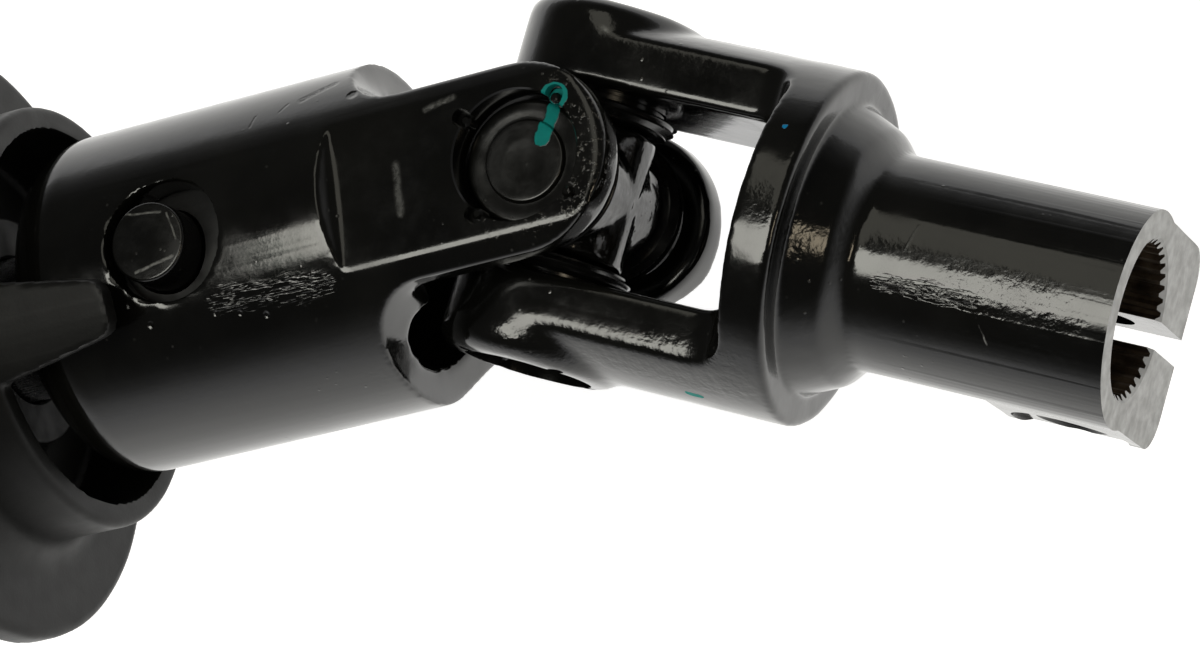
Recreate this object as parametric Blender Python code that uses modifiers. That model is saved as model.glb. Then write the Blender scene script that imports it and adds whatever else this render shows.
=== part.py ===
"""Steering intermediate shaft: a universal joint, a torsion isolator, a dash seal and a telescopic slide.

The shaft lies along X. The origin is the centre of the seating face of the seal's flange, and +X runs to
the universal joint, at the steering gear's end. Each yoke is modelled in the frame of its own hinge, and
the coupler at the other end in a frame whose +X points away from the shaft.
"""

from math import asin, cos, pi, radians, sin, sqrt

import bmesh
import bpy
from mathutils import Matrix

MM = 0.001

# Bend of the joint
JOINT_BEND = radians(-24.9)  # about the tube yoke's bearing axis
JOINT_TILT = radians(3.0)  # about the clamp yoke's bearing axis

# Clearances
GAP = 0.3 * MM
NEEDLE_GAP = 0.2 * MM

# Cross and bearings
TRUNNION_RADIUS = 5.0 * MM
TRUNNION_LENGTH = 6.2 * MM
CROSS_SHOULDER = 0.85 * MM  # how far the cross's body stands out past its cups' radius
EDGE_BREAK = 0.5 * MM
NEEDLE_COUNT = 20
NEEDLE_DIAMETER = 1.5 * MM
CUP_WALL = 0.95 * MM
CUP_BASE = 1.8 * MM
CUP_FACE_DISC = 5.2 * MM  # radius of the raised disc on a cup's face
CUP_FACE_STEP = 0.6 * MM
CUP_DIMPLE_RADIUS = 2.2 * MM
CUP_DIMPLE_DEPTH = 0.5 * MM
SEAL_WASHER = 0.6 * MM
SEAL_SKIRT = 1.2 * MM
SEAL_LIP = 2.0 * MM  # how far the seal stands out round its cup

# Ears
EAR_RIM = 3.85 * MM  # metal round the bearing hole
EAR_THICKNESS = 5.4 * MM
CUP_RECESS = 3.2 * MM  # from a flat ear's face down to the cup
HOLE_CHAMFER = 0.6 * MM
STAKE_RADIUS = 1.3 * MM
STAKE_OVERLAP = 0.7 * MM  # how far a stake reaches over its cup
STAKE_DEPTH = 1.2 * MM

# Tube yoke
EAR_FLAT_DEPTH = 2.025 * MM  # how deep the ears' flats lie in the tube's outside
EAR_FLAT_RUN = 1.0 * MM  # how far the flats run on past the crotch
TUBE_WALL = 5.0 * MM
TUBE_REACH = 71.5 * MM  # from the joint to the domed end
DOME_FILLET = 8.5 * MM
DOME_CLEARANCE = 2.5 * MM  # between the domed end's mouth and the shaft
TUBE_CROTCH = 23.0 * MM
TUBE_CROTCH_FILLET = 8.0 * MM
EAR_ROOT_LENGTH = 6.0 * MM  # where the tube wall thickens into the ear

# Torsion isolator
STOP_HOLE_INSET = 24.2 * MM  # from the tube's domed end
STOP_PIN_RADIUS = 5.15 * MM
STOP_CLEARANCE = 2.45 * MM  # between the pin and its hole
STOP_PIN_OFFSET = 1.85 * MM  # the pin sits towards the dome in its hole
ISOLATOR_WALL = 7.125 * MM
ISOLATOR_BULGE = 1.2 * MM

# Inner shaft and telescopic sleeve
SHAFT_STUB = 8.6 * MM  # how far the shaft runs on past the isolator
SHAFT_FLAT_DEPTH = 2.4 * MM
FLAT_STANDOFF = 13.5 * MM  # from the bush back to where the shaft's flats begin
WIPER_STANDOFF = 29.9 * MM  # from the bush back to the wiper
SLIDE_ENGAGEMENT = 45.3 * MM  # the shaft's length inside the sleeve
SLEEVE_WALL = 3.2 * MM
SLEEVE_LENGTH = 103.0 * MM
WIPER_LENGTH = 6.0 * MM
WIPER_WALL = 4.4 * MM

# Forged yokes
CUP_DEPTH = 5.2 * MM  # from a round arm's outside down to the cup
ARM_CLEARANCE = 0.7 * MM  # between a clamp yoke's arm and the seal inside it
COLLAR_START = 28.7 * MM
COLLAR_THICKNESS = 6.0 * MM
COLLAR_EDGE = 1.0 * MM
CROTCH_FILLET = 4.0 * MM
NECK_RISE = 4.7 * MM  # from the hub's outside up to the neck's top
NECK_LENGTH = 6.3 * MM
HUB_LENGTH = 32.7 * MM
HUB_WALL = 3.7 * MM

# Serrated clamp
SERRATION_COUNT = 36
SERRATION_TIP = 9.25 * MM
SERRATION_DEPTH = 0.55 * MM
BORE_CHAMFER = 0.6 * MM
CLAMP_SLOT = 3.4 * MM
CLAMP_SLOT_LENGTH = 27.0 * MM
LUG_LENGTH = 17.7 * MM
LUG_WIDTH = 26.0 * MM
LUG_WALL = 2.3 * MM
LUG_FILLET = 3.0 * MM
BOLT_HOLE_RADIUS = 4.2 * MM
BOLT_HOLE_WALL = 1.0 * MM  # metal left between the bolt hole and the bore
SPOT_FACE_RADIUS = 7.5 * MM
SPOT_FACE_DEPTH = 0.8 * MM

# Coupler
COUPLER_LENGTH = 54.0 * MM
SOCKET_DEPTH = 15.0 * MM
SOCKET_WALL = 3.4 * MM
SOCKET_TAPER = 6.0 * MM
WELD_BEAD = 2.0 * MM

# Dash seal
FLANGE_WIDTH = 12.1 * MM
FLANGE_THICKNESS = 4.0 * MM
FLANGE_EDGE = 1.2 * MM
NOSE_CLEARANCE = 2.675 * MM  # between the nose and the isolator's tube
NOSE_LENGTH = 17.1 * MM  # from the seating face to the mouth
NOSE_WALL = 3.3 * MM
TUBE_OVERLAP = 1.1 * MM  # how far the tube reaches into the nose
NOSE_FILLET = 4.0 * MM
SEAL_WEB = 3.5 * MM
SEAL_GROOVE_INSET = 7.3 * MM  # from the flange's edge
SEAL_GROOVE_DEPTH = 1.6 * MM
SEAL_HUB_WALL = 3.2 * MM
BUSH_LENGTH = 15.0 * MM
BUSH_FRONT = 8.0 * MM  # how far the bush stands in front of the seating face
BUSH_WALL = 2.4 * MM
BUSH_LIP = 1.8 * MM
TONGUE_LENGTH = 17.2 * MM
TONGUE_ROOT = 13.2 * MM
TONGUE_TIP = 7.6 * MM
TONGUE_ANGLE = radians(17.5)  # round the shaft from +Z towards -Y

# Facets of round pieces
ROUND = 48
BEARING_ROUND = 26
SMALL_ROUND = 16
STAKE_ROUND = 6
FILLET_STEPS = 3

# Sizes that follow
CUP_BORE = TRUNNION_RADIUS + NEEDLE_GAP + NEEDLE_DIAMETER + NEEDLE_GAP
CUP_RADIUS = CUP_BORE + CUP_WALL
CROSS_ARM_REACH = CUP_RADIUS + CROSS_SHOULDER
CROSS_ARM_RADIUS = CROSS_ARM_REACH - EDGE_BREAK
EAR_HOLE_RADIUS = CUP_RADIUS + GAP
EAR_HALF_WIDTH = EAR_HOLE_RADIUS + EAR_RIM
TRUNNION_END = CROSS_ARM_REACH + TRUNNION_LENGTH
CUP_FLOOR = TRUNNION_END + GAP
CUP_FACE = CUP_FLOOR + CUP_BASE
SEAL_START = CROSS_ARM_REACH + GAP
CUP_MOUTH = SEAL_START + SEAL_WASHER + GAP
SEAL_END = CUP_MOUTH + SEAL_SKIRT
ARM_INNER = SEAL_END + ARM_CLEARANCE
EAR_FLAT = CUP_FACE + CUP_RECESS
EAR_INNER = EAR_FLAT - EAR_THICKNESS
EAR_FLAT_LENGTH = TUBE_CROTCH + EAR_FLAT_RUN
TUBE_RADIUS = EAR_FLAT + EAR_FLAT_DEPTH
TUBE_BORE = TUBE_RADIUS - TUBE_WALL
STOP_HOLE_RADIUS = STOP_PIN_RADIUS + STOP_CLEARANCE
STOP_HOLE_REACH = TUBE_REACH - STOP_HOLE_INSET
STOP_PIN_REACH = STOP_HOLE_REACH + STOP_PIN_OFFSET
ISOLATOR_HALF = TUBE_REACH - STOP_PIN_REACH - DOME_FILLET - GAP
SHAFT_START = STOP_PIN_REACH - ISOLATOR_HALF - SHAFT_STUB
SHAFT_RADIUS = TUBE_BORE - GAP - ISOLATOR_WALL - GAP
SHAFT_FLAT = SHAFT_RADIUS - SHAFT_FLAT_DEPTH
DOME_MOUTH = SHAFT_RADIUS + DOME_CLEARANCE
FORGING_RADIUS = CUP_FACE + CUP_DEPTH
BORE_ROOT = SERRATION_TIP + SERRATION_DEPTH
HUB_RADIUS = BORE_ROOT + HUB_WALL
NECK_RADIUS = HUB_RADIUS + NECK_RISE
COLLAR_END = COLLAR_START + COLLAR_THICKNESS
HUB_START = COLLAR_END + NECK_LENGTH
HUB_END = HUB_START + HUB_LENGTH
BOLT_OFFSET = BORE_ROOT + BOLT_HOLE_WALL + BOLT_HOLE_RADIUS
LUG_REACH = BOLT_OFFSET + BOLT_HOLE_RADIUS + LUG_WALL
SLEEVE_BORE = SHAFT_RADIUS + GAP
SLEEVE_RADIUS = SLEEVE_BORE + SLEEVE_WALL
SLEEVE_FLAT = SHAFT_FLAT + GAP + SLEEVE_WALL
SOCKET_RADIUS = SLEEVE_RADIUS + GAP
COUPLER_RADIUS = SOCKET_RADIUS + SOCKET_WALL
BUSH_BORE = SHAFT_RADIUS + GAP
BUSH_RADIUS = BUSH_BORE + BUSH_WALL
SEAL_HUB_BORE = BUSH_RADIUS + GAP
NOSE_RADIUS = TUBE_RADIUS + NOSE_CLEARANCE + NOSE_WALL
FLANGE_RADIUS = NOSE_RADIUS + FLANGE_WIDTH
SEAL_GROOVE_RADIUS = FLANGE_RADIUS - SEAL_GROOVE_INSET
JOINT_PLACE = NOSE_LENGTH - TUBE_OVERLAP + TUBE_REACH  # from the seating face to the joint's centre
BUSH_BACK = BUSH_FRONT - BUSH_LENGTH
WIPER_FRONT = BUSH_BACK - WIPER_STANDOFF
SLEEVE_FRONT = WIPER_FRONT - WIPER_LENGTH - GAP
SHAFT_END = SLEEVE_FRONT - SLIDE_ENGAGEMENT
SLEEVE_BACK = SLEEVE_FRONT - SLEEVE_LENGTH
COUPLER_PLACE = SLEEVE_BACK - GAP + SOCKET_DEPTH  # the socket's mouth

EMPTY_SIZE = 20 * MM
REACH_PAST = 5 * MM  # how far a cutter runs past what it cuts
MERGE = 0.01 * MM

# Turns that send a piece's local Z along the named axis of its frame
ALONG = {
    "X": Matrix.Rotation(pi / 2, 4, "Y"),
    "-X": Matrix.Rotation(-pi / 2, 4, "Y"),
    "Y": Matrix.Rotation(-pi / 2, 4, "X"),
    "-Y": Matrix.Rotation(pi / 2, 4, "X"),
    "Z": Matrix.Identity(4),
    "-Z": Matrix.Rotation(pi, 4, "X"),
}


def clear_scene():
    for obj in list(bpy.data.objects):
        bpy.data.objects.remove(obj, do_unlink=True)


def make_collection(name):
    collection = bpy.data.collections.new(name)
    bpy.context.scene.collection.children.link(collection)
    return collection


clear_scene()
PARTS = make_collection("steering_shaft")
CUTTERS = make_collection("cutters")


def material(name, color, roughness, metallic):
    made = bpy.data.materials.new(name)
    made.use_nodes = True
    shader = made.node_tree.nodes["Principled BSDF"]
    shader.inputs["Base Color"].default_value = (*color, 1)
    shader.inputs["Roughness"].default_value = roughness
    shader.inputs["Metallic"].default_value = metallic
    return made


GLOSS_BLACK_PAINT = material("gloss_black_paint", (0.012, 0.012, 0.013), 0.18, 0.0)
GROUND_STEEL = material("ground_steel", (0.52, 0.52, 0.53), 0.3, 1.0)
DARK_STEEL = material("dark_steel", (0.2, 0.19, 0.18), 0.45, 1.0)
SEAL_RUBBER = material("seal_rubber", (0.03, 0.028, 0.026), 0.75, 0.0)
BLACK_RUBBER = material("black_rubber", (0.02, 0.02, 0.02), 0.85, 0.0)
NYLON = material("nylon", (0.62, 0.6, 0.52), 0.5, 0.0)


def make_frame(name, parent, matrix):
    """An empty that carries one joint's pieces."""
    frame = bpy.data.objects.new(name, None)
    frame.empty_display_size = EMPTY_SIZE
    PARTS.objects.link(frame)
    frame.parent = parent
    frame.matrix_local = matrix
    return frame


def put(name, mesh, frame, matrix, collection):
    obj = bpy.data.objects.new(name, mesh)
    collection.objects.link(obj)
    obj.parent = frame
    obj.matrix_local = matrix
    if collection is CUTTERS:
        obj.hide_render = True
        obj.display_type = "WIRE"
    return obj


def arc(centre, radius, start, end, steps=FILLET_STEPS):
    """Points on an arc in a plane, from one angle to another in degrees."""
    angles = [radians(start + (end - start) * step / steps) for step in range(steps + 1)]
    return [(centre[0] + radius * cos(a), centre[1] + radius * sin(a)) for a in angles]


def turned(name, outline, frame, along="X", at=(0, 0, 0), steps=ROUND, closed=False, collection=CUTTERS):
    """A turned solid: (place along the axis, radius) points, down the outer side from the far end."""
    mesh = bpy.data.meshes.new(name)
    points = [(radius, 0, place) for place, radius in outline]
    edges = [(i, i + 1) for i in range(len(points) - 1)]
    if closed:
        edges.append((len(points) - 1, 0))
    mesh.from_pydata(points, edges, [])
    obj = put(name, mesh, frame, Matrix.Translation(at) @ ALONG[along], collection)
    screw = obj.modifiers.new("turn", "SCREW")
    screw.steps = screw.render_steps = steps
    screw.use_merge_vertices = True
    screw.merge_threshold = MERGE
    return obj


def prism(name, outline, depth, frame, along="Z", at=(0, 0, 0), collection=CUTTERS):
    """A flat outline thickened to depth, centred on its plane."""
    mesh = bpy.data.meshes.new(name)
    bm = bmesh.new()
    bm.faces.new([bm.verts.new((x, y, 0)) for x, y in outline])
    bm.to_mesh(mesh)
    bm.free()
    obj = put(name, mesh, frame, Matrix.Translation(at) @ ALONG[along], collection)
    solidify = obj.modifiers.new("depth", "SOLIDIFY")
    solidify.thickness = depth
    solidify.offset = 0
    return obj


def box(name, low, high, frame, collection=CUTTERS, fillet=0.0, fillet_axis=0):
    """A block between two corners, with the edges along one axis rounded."""
    mesh = bpy.data.meshes.new(name)
    bm = bmesh.new()
    bmesh.ops.create_cube(bm, size=1)
    for vert in bm.verts:
        vert.co = [a + (b - a) * (c + 0.5) for a, b, c in zip(low, high, vert.co)]
    if fillet:
        others = [axis for axis in range(3) if axis != fillet_axis]
        edges = [e for e in bm.edges if all(e.verts[0].co[a] == e.verts[1].co[a] for a in others)]
        bmesh.ops.bevel(bm, geom=edges, offset=fillet, segments=FILLET_STEPS, profile=0.5, affect="EDGES")
    bm.to_mesh(mesh)
    bm.free()
    return put(name, mesh, frame, Matrix.Identity(4), collection)


def combine(target, other, operation):
    modifier = target.modifiers.new(operation.lower(), "BOOLEAN")
    modifier.operation = operation
    modifier.object = other


def cut(target, *cutters):
    for cutter in cutters:
        combine(target, cutter, "DIFFERENCE")


def join(target, *others):
    for other in others:
        combine(target, other, "UNION")


def finish(obj, paint):
    """Keeps the evaluated shape, shades it and clears its cutters away."""
    graph = bpy.context.evaluated_depsgraph_get()
    mesh = bpy.data.meshes.new_from_object(obj.evaluated_get(graph))
    obj.modifiers.clear()
    obj.data = mesh
    mesh.name = obj.name
    mesh.materials.clear()
    mesh.materials.append(paint)
    mesh.shade_smooth()
    mesh.set_sharp_from_angle(angle=radians(35))
    for cutter in list(CUTTERS.objects):
        bpy.data.objects.remove(cutter, do_unlink=True)
    return obj


def double_d(radius, flat, steps):
    """A round outline with two flats, square to its local Y."""
    half = asin(flat / radius) * 180 / pi
    return arc((0, 0), radius, -half, half, steps) + arc((0, 0), radius, 180 - half, 180 + half, steps)


def ear_cutter_outline(crotch, fillet):
    """What is cut away beside two ears, seen square to them: round tips, and a filleted corner at the crotch."""
    far = crotch + FORGING_RADIUS + TUBE_RADIUS + REACH_PAST
    wide = FORGING_RADIUS + TUBE_RADIUS
    half = EAR_HALF_WIDTH
    upper = [(-crotch, wide)] + arc((fillet - crotch, half + fillet), fillet, 180, 270)
    tip = arc((0, 0), half, 90, -90, 3 * FILLET_STEPS)
    lower = arc((fillet - crotch, -half - fillet), fillet, 90, 180) + [(-crotch, -wide)]
    return upper + tip + lower + [(far, -wide), (far, wide)]


def add_stakes(yoke, frame, face, along):
    """Four stakes in each ear: metal punched over the cup's rim, with the punch's dent beside it."""
    ring = EAR_HOLE_RADIUS + STAKE_RADIUS - STAKE_OVERLAP - GAP
    low = CUP_FACE + GAP
    high = face - STAKE_DEPTH
    for side in ("", "-"):
        for quarter in range(4):
            angle = radians(45 + 90 * quarter)
            u, v = ring * cos(angle), ring * sin(angle)
            du, dv = (ring + STAKE_RADIUS) * cos(angle), (ring + STAKE_RADIUS) * sin(angle)
            axis = side + along
            at = {"Z": (u, v, 0), "Y": (u, 0, v)}[along]
            dent_at = {"Z": (du, dv, 0), "Y": (du, 0, dv)}[along]
            bump_outline = [(high, 0), (high, STAKE_RADIUS), (low, STAKE_RADIUS), (low, 0)]
            dent_outline = [
                (face + REACH_PAST, 0),
                (face + REACH_PAST, STAKE_RADIUS),
                (face, STAKE_RADIUS),
                (high, STAKE_RADIUS / 2),
                (high, 0),
            ]
            bump = turned("stake", bump_outline, frame, axis, at, steps=STAKE_ROUND)
            dent = turned("dent", dent_outline, frame, axis, dent_at, steps=STAKE_ROUND)
            join(yoke, bump)
            cut(yoke, dent)


# Bearings: one mesh of each kind, copied to every trunnion


def make_cup():
    dimple = CUP_FACE - CUP_DIMPLE_DEPTH
    ledge = CUP_FACE - CUP_FACE_STEP
    outline = [
        (dimple, 0),
        (dimple, CUP_DIMPLE_RADIUS - CUP_DIMPLE_DEPTH),
        (CUP_FACE, CUP_DIMPLE_RADIUS),
        (CUP_FACE, CUP_FACE_DISC - CUP_FACE_STEP / 2),
        (ledge, CUP_FACE_DISC),
        (ledge, CUP_RADIUS - EDGE_BREAK),
        (ledge - EDGE_BREAK, CUP_RADIUS),
        (CUP_MOUTH, CUP_RADIUS),
        (CUP_MOUTH, CUP_BORE),
        (CUP_FLOOR, CUP_BORE),
        (CUP_FLOOR, 0),
    ]
    return finish(turned("cup", outline, None, "Z", steps=BEARING_ROUND, collection=PARTS), GROUND_STEEL)


def make_needles():
    """The needle rollers round a trunnion, as one ring."""
    inner = TRUNNION_RADIUS + NEEDLE_GAP
    outer = inner + NEEDLE_DIAMETER
    groove = NEEDLE_DIAMETER / 4
    length = TRUNNION_END - CUP_MOUTH - GAP
    middle = CUP_MOUTH + length / 2

    def scallops(crest, valley):
        points = []
        for needle in range(NEEDLE_COUNT):
            angle = 2 * pi * needle / NEEDLE_COUNT
            between = angle + pi / NEEDLE_COUNT
            points.append((crest * cos(angle), crest * sin(angle)))
            points.append((valley * cos(between), valley * sin(between)))
        return points

    ring = prism("needles", scallops(outer, outer - groove), length, None, "Z", (0, 0, middle), PARTS)
    cut(ring, prism("space", scallops(inner, inner + groove), 2 * length, None, "Z", (0, 0, middle)))
    return finish(ring, GROUND_STEEL)


def make_bearing_seal():
    """A rubber ring that lips over the cup's open end, wider outwards so that neighbours stay clear."""
    inside = CUP_RADIUS + GAP
    crest = inside + SEAL_LIP - GAP
    washer = SEAL_START + SEAL_WASHER
    throat = TRUNNION_RADIUS + GAP
    outline = [
        (SEAL_END, inside),
        (SEAL_END, crest - SEAL_LIP / 2),
        (SEAL_END - SEAL_SKIRT / 3, crest),
        (CUP_MOUTH + SEAL_SKIRT / 3, crest - SEAL_LIP / 4),
        (CUP_MOUTH, crest - SEAL_LIP / 8),
        (SEAL_START, SEAL_START - GAP),
        (SEAL_START, throat),
        (washer, throat),
        (washer, inside),
    ]
    ring = turned("seal", outline, None, "Z", steps=BEARING_ROUND, closed=True, collection=PARTS)
    return finish(ring, BLACK_RUBBER)


def make_cross(frame):
    shaft = [
        (TRUNNION_END, 0),
        (TRUNNION_END, TRUNNION_RADIUS - EDGE_BREAK),
        (TRUNNION_END - EDGE_BREAK, TRUNNION_RADIUS),
        (CROSS_ARM_REACH, TRUNNION_RADIUS),
        (CROSS_ARM_REACH, CROSS_ARM_RADIUS - EDGE_BREAK),
        (CROSS_ARM_REACH - EDGE_BREAK, CROSS_ARM_RADIUS),
    ]
    outline = shaft + [(-place, radius) for place, radius in reversed(shaft)]
    cross = turned("cross", outline, frame, "Z", steps=BEARING_ROUND, collection=PARTS)
    join(cross, turned("second_pair", outline, frame, "Y", steps=BEARING_ROUND))
    return finish(cross, GLOSS_BLACK_PAINT)


def add_bearings(pair, frame, axis):
    """The cup, needles and seal on each of a yoke's two trunnions."""
    for end, along in (("a", axis), ("b", "-" + axis)):
        for kind, template in TEMPLATES.items():
            put(f"{pair}_{kind}_{end}", template.data, frame, ALONG[along] @ template.matrix_local, PARTS)


# Yokes


def tube_blank(frame):
    """The tube with its rolled-in end, and with more metal where the ears are."""
    end = -TUBE_REACH
    inner_fillet = DOME_FILLET - TUBE_WALL
    tip = EAR_HALF_WIDTH + REACH_PAST
    outer_arc = arc((end + DOME_FILLET, TUBE_RADIUS - DOME_FILLET), DOME_FILLET, 90, 180)
    inner_arc = arc((end + DOME_FILLET, TUBE_BORE - inner_fillet), inner_fillet, 180, 90)
    outline = [(tip, EAR_INNER), (tip, TUBE_RADIUS)] + outer_arc
    outline += [(end, DOME_MOUTH), (end + TUBE_WALL, DOME_MOUTH)] + inner_arc
    outline += [(-TUBE_CROTCH, TUBE_BORE), (EAR_ROOT_LENGTH - TUBE_CROTCH, EAR_INNER)]
    return turned("tube_yoke", outline, frame, "X", closed=True, collection=PARTS)


def stop_hole_cutter(frame, side):
    """One stop hole, with its mouth broken."""
    flare = HOLE_CHAMFER
    mouth = sqrt(TUBE_RADIUS**2 - STOP_HOLE_RADIUS**2)
    outline = [
        (TUBE_RADIUS + REACH_PAST, 0),
        (TUBE_RADIUS + REACH_PAST, STOP_HOLE_RADIUS + flare / 3),
        (mouth, STOP_HOLE_RADIUS + flare / 3),
        (mouth - flare, STOP_HOLE_RADIUS),
        (0, STOP_HOLE_RADIUS),
        (0, 0),
    ]
    return turned("stop_hole", outline, frame, side + "Z", (-STOP_HOLE_REACH, 0, 0), steps=BEARING_ROUND)


def ear_hole_cutter(frame, along, face):
    """A bearing hole through both ears, with a chamfer where the ear's face is flat."""
    high = face + REACH_PAST
    half = [
        (high, 0),
        (high, EAR_HOLE_RADIUS + HOLE_CHAMFER),
        (face, EAR_HOLE_RADIUS + HOLE_CHAMFER),
        (face - HOLE_CHAMFER, EAR_HOLE_RADIUS),
    ]
    outline = half + [(-place, radius) for place, radius in reversed(half)]
    return turned("ear_hole", outline, frame, along, steps=BEARING_ROUND)


def make_tube_yoke(frame):
    yoke = tube_blank(frame)
    outline = ear_cutter_outline(TUBE_CROTCH, TUBE_CROTCH_FILLET)
    cut(yoke, prism("slots", outline, 4 * TUBE_RADIUS, frame, "Z"))
    tip = EAR_HALF_WIDTH + REACH_PAST
    low = (EAR_ROOT_LENGTH - TUBE_CROTCH, -EAR_HALF_WIDTH - GAP, -EAR_INNER)
    cut(yoke, box("between_ears", low, (2 * tip, EAR_HALF_WIDTH + GAP, EAR_INNER), frame))
    for side in (1, -1):
        faces = sorted((side * EAR_FLAT, side * 2 * TUBE_RADIUS))
        low = (-EAR_FLAT_LENGTH, -TUBE_RADIUS, faces[0])
        cut(yoke, box("ear_flat", low, (2 * tip, TUBE_RADIUS, faces[1]), frame))
    cut(yoke, ear_hole_cutter(frame, "Z", EAR_FLAT))
    cut(yoke, stop_hole_cutter(frame, ""), stop_hole_cutter(frame, "-"))
    add_stakes(yoke, frame, EAR_FLAT, "Z")
    return finish(yoke, GLOSS_BLACK_PAINT)


def neck_outline():
    """The domed shoulder from the clamp yoke's hub up to its collar's face."""
    drop = NECK_RADIUS - HUB_RADIUS
    shoulder = arc((0, 0), 1, 0, 90)
    return [(COLLAR_END + NECK_LENGTH * u, HUB_RADIUS + drop * v) for u, v in shoulder]


def serrated_bore(frame, end, length):
    """A serrated hole that runs from the end face over length."""
    points = []
    for tooth in range(SERRATION_COUNT):
        angle = 2 * pi * tooth / SERRATION_COUNT
        root = angle + pi / SERRATION_COUNT
        points.append((SERRATION_TIP * cos(angle), SERRATION_TIP * sin(angle)))
        points.append((BORE_ROOT * cos(root), BORE_ROOT * sin(root)))
    return prism("serrated_bore", points, 2 * length, frame, "X", (end, 0, 0))


def add_clamp(piece, frame, end, depth):
    """A serrated bore with a slot and two lugs for a pinch bolt, on local -Z, behind an end face."""
    half = LUG_WIDTH / 2
    wide = 2 * LUG_REACH
    past = end + REACH_PAST
    far = past + REACH_PAST
    low = (end - LUG_LENGTH, -half, -LUG_REACH)
    join(piece, box("lugs", low, (past, half, 0), frame, fillet=LUG_FILLET))
    cut(piece, box("end_face", (end, -wide, -wide), (far, wide, wide), frame))
    cut(piece, serrated_bore(frame, end, depth))
    slot_low = (end - CLAMP_SLOT_LENGTH, -CLAMP_SLOT / 2, -wide)
    cut(piece, box("clamp_slot", slot_low, (far, CLAMP_SLOT / 2, 0), frame))
    small = SERRATION_TIP - BORE_CHAMFER
    large = BORE_ROOT + 2 * BORE_CHAMFER
    front = end + BORE_CHAMFER
    back = front - (large - small)
    chamfer = [(front, 0), (front, large), (back, small), (back, 0)]
    cut(piece, turned("bore_chamfer", chamfer, frame, "X", steps=BEARING_ROUND))
    bolt_at = (end - LUG_LENGTH / 2, 0, -BOLT_OFFSET)
    seat = half - SPOT_FACE_DEPTH
    side = [(2 * half, 0), (2 * half, SPOT_FACE_RADIUS), (seat, SPOT_FACE_RADIUS), (seat, BOLT_HOLE_RADIUS)]
    bolt = side + [(-place, radius) for place, radius in reversed(side)]
    cut(piece, turned("bolt_hole", bolt, frame, "Y", bolt_at, steps=SMALL_ROUND))


def make_clamp_yoke(frame):
    """Two arms on local Y, a round collar, and a hub that clamps on the steering gear's shaft."""
    past = HUB_END + REACH_PAST
    tip = EAR_HALF_WIDTH + REACH_PAST
    edge = arc((COLLAR_END - COLLAR_EDGE, FORGING_RADIUS - COLLAR_EDGE), COLLAR_EDGE, 0, 90, 2)
    outline = [(past, 0), (past, HUB_RADIUS)] + neck_outline() + edge + [(-tip, FORGING_RADIUS), (-tip, 0)]
    yoke = turned("clamp_yoke", outline, frame, "X", collection=PARTS)
    # The same outline as beside the tube yoke's ears, turned end for end and a quarter round.
    beside = ear_cutter_outline(COLLAR_START, CROTCH_FILLET)
    slots = prism("beside_arms", beside, 4 * FORGING_RADIUS, frame, "Z")
    slots.matrix_local = Matrix.Rotation(pi, 4, "Z") @ Matrix.Rotation(pi / 2, 4, "X")
    corner = COLLAR_START - CROTCH_FILLET
    side = ARM_INNER - CROTCH_FILLET
    window = [(-2 * tip, -ARM_INNER)] + arc((corner, -side), CROTCH_FILLET, -90, 0)
    window += arc((corner, side), CROTCH_FILLET, 0, 90) + [(-2 * tip, ARM_INNER)]
    cut(yoke, slots, prism("between_arms", window, 4 * FORGING_RADIUS, frame, "Z"))
    cut(yoke, ear_hole_cutter(frame, "Y", FORGING_RADIUS))
    add_stakes(yoke, frame, FORGING_RADIUS - HOLE_CHAMFER, "Y")
    add_clamp(yoke, frame, HUB_END, HUB_END)
    return finish(yoke, GLOSS_BLACK_PAINT)


# Isolator, shaft and slide


def pin_cutter(frame, radius):
    outline = [(2 * TUBE_RADIUS, 0), (2 * TUBE_RADIUS, radius), (-2 * TUBE_RADIUS, radius), (-2 * TUBE_RADIUS, 0)]
    return turned("pin_hole", outline, frame, "Z", (-STOP_PIN_REACH, 0, 0), steps=SMALL_ROUND)


def make_isolator(frame):
    outer = TUBE_BORE - GAP
    inner = SHAFT_RADIUS + GAP
    right = -STOP_PIN_REACH + ISOLATOR_HALF
    left = -STOP_PIN_REACH - ISOLATOR_HALF
    middle = (outer + inner) / 2
    outline = [
        (right, inner),
        (right + ISOLATOR_BULGE, middle),
        (right, outer),
        (left, outer),
        (left - ISOLATOR_BULGE, middle),
        (left, inner),
    ]
    bush = turned("isolator_bush", outline, frame, "X", closed=True, steps=BEARING_ROUND, collection=PARTS)
    cut(bush, pin_cutter(frame, STOP_PIN_RADIUS + GAP))
    return finish(bush, BLACK_RUBBER)


def make_stop_pin(frame):
    half = [
        (TUBE_RADIUS, 0),
        (TUBE_RADIUS, STOP_PIN_RADIUS - EDGE_BREAK),
        (TUBE_RADIUS - EDGE_BREAK, STOP_PIN_RADIUS),
    ]
    outline = half + [(-place, radius) for place, radius in reversed(half)]
    pin = turned("stop_pin", outline, frame, "Z", (-STOP_PIN_REACH, 0, 0), BEARING_ROUND, collection=PARTS)
    return finish(pin, DARK_STEEL)


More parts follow.
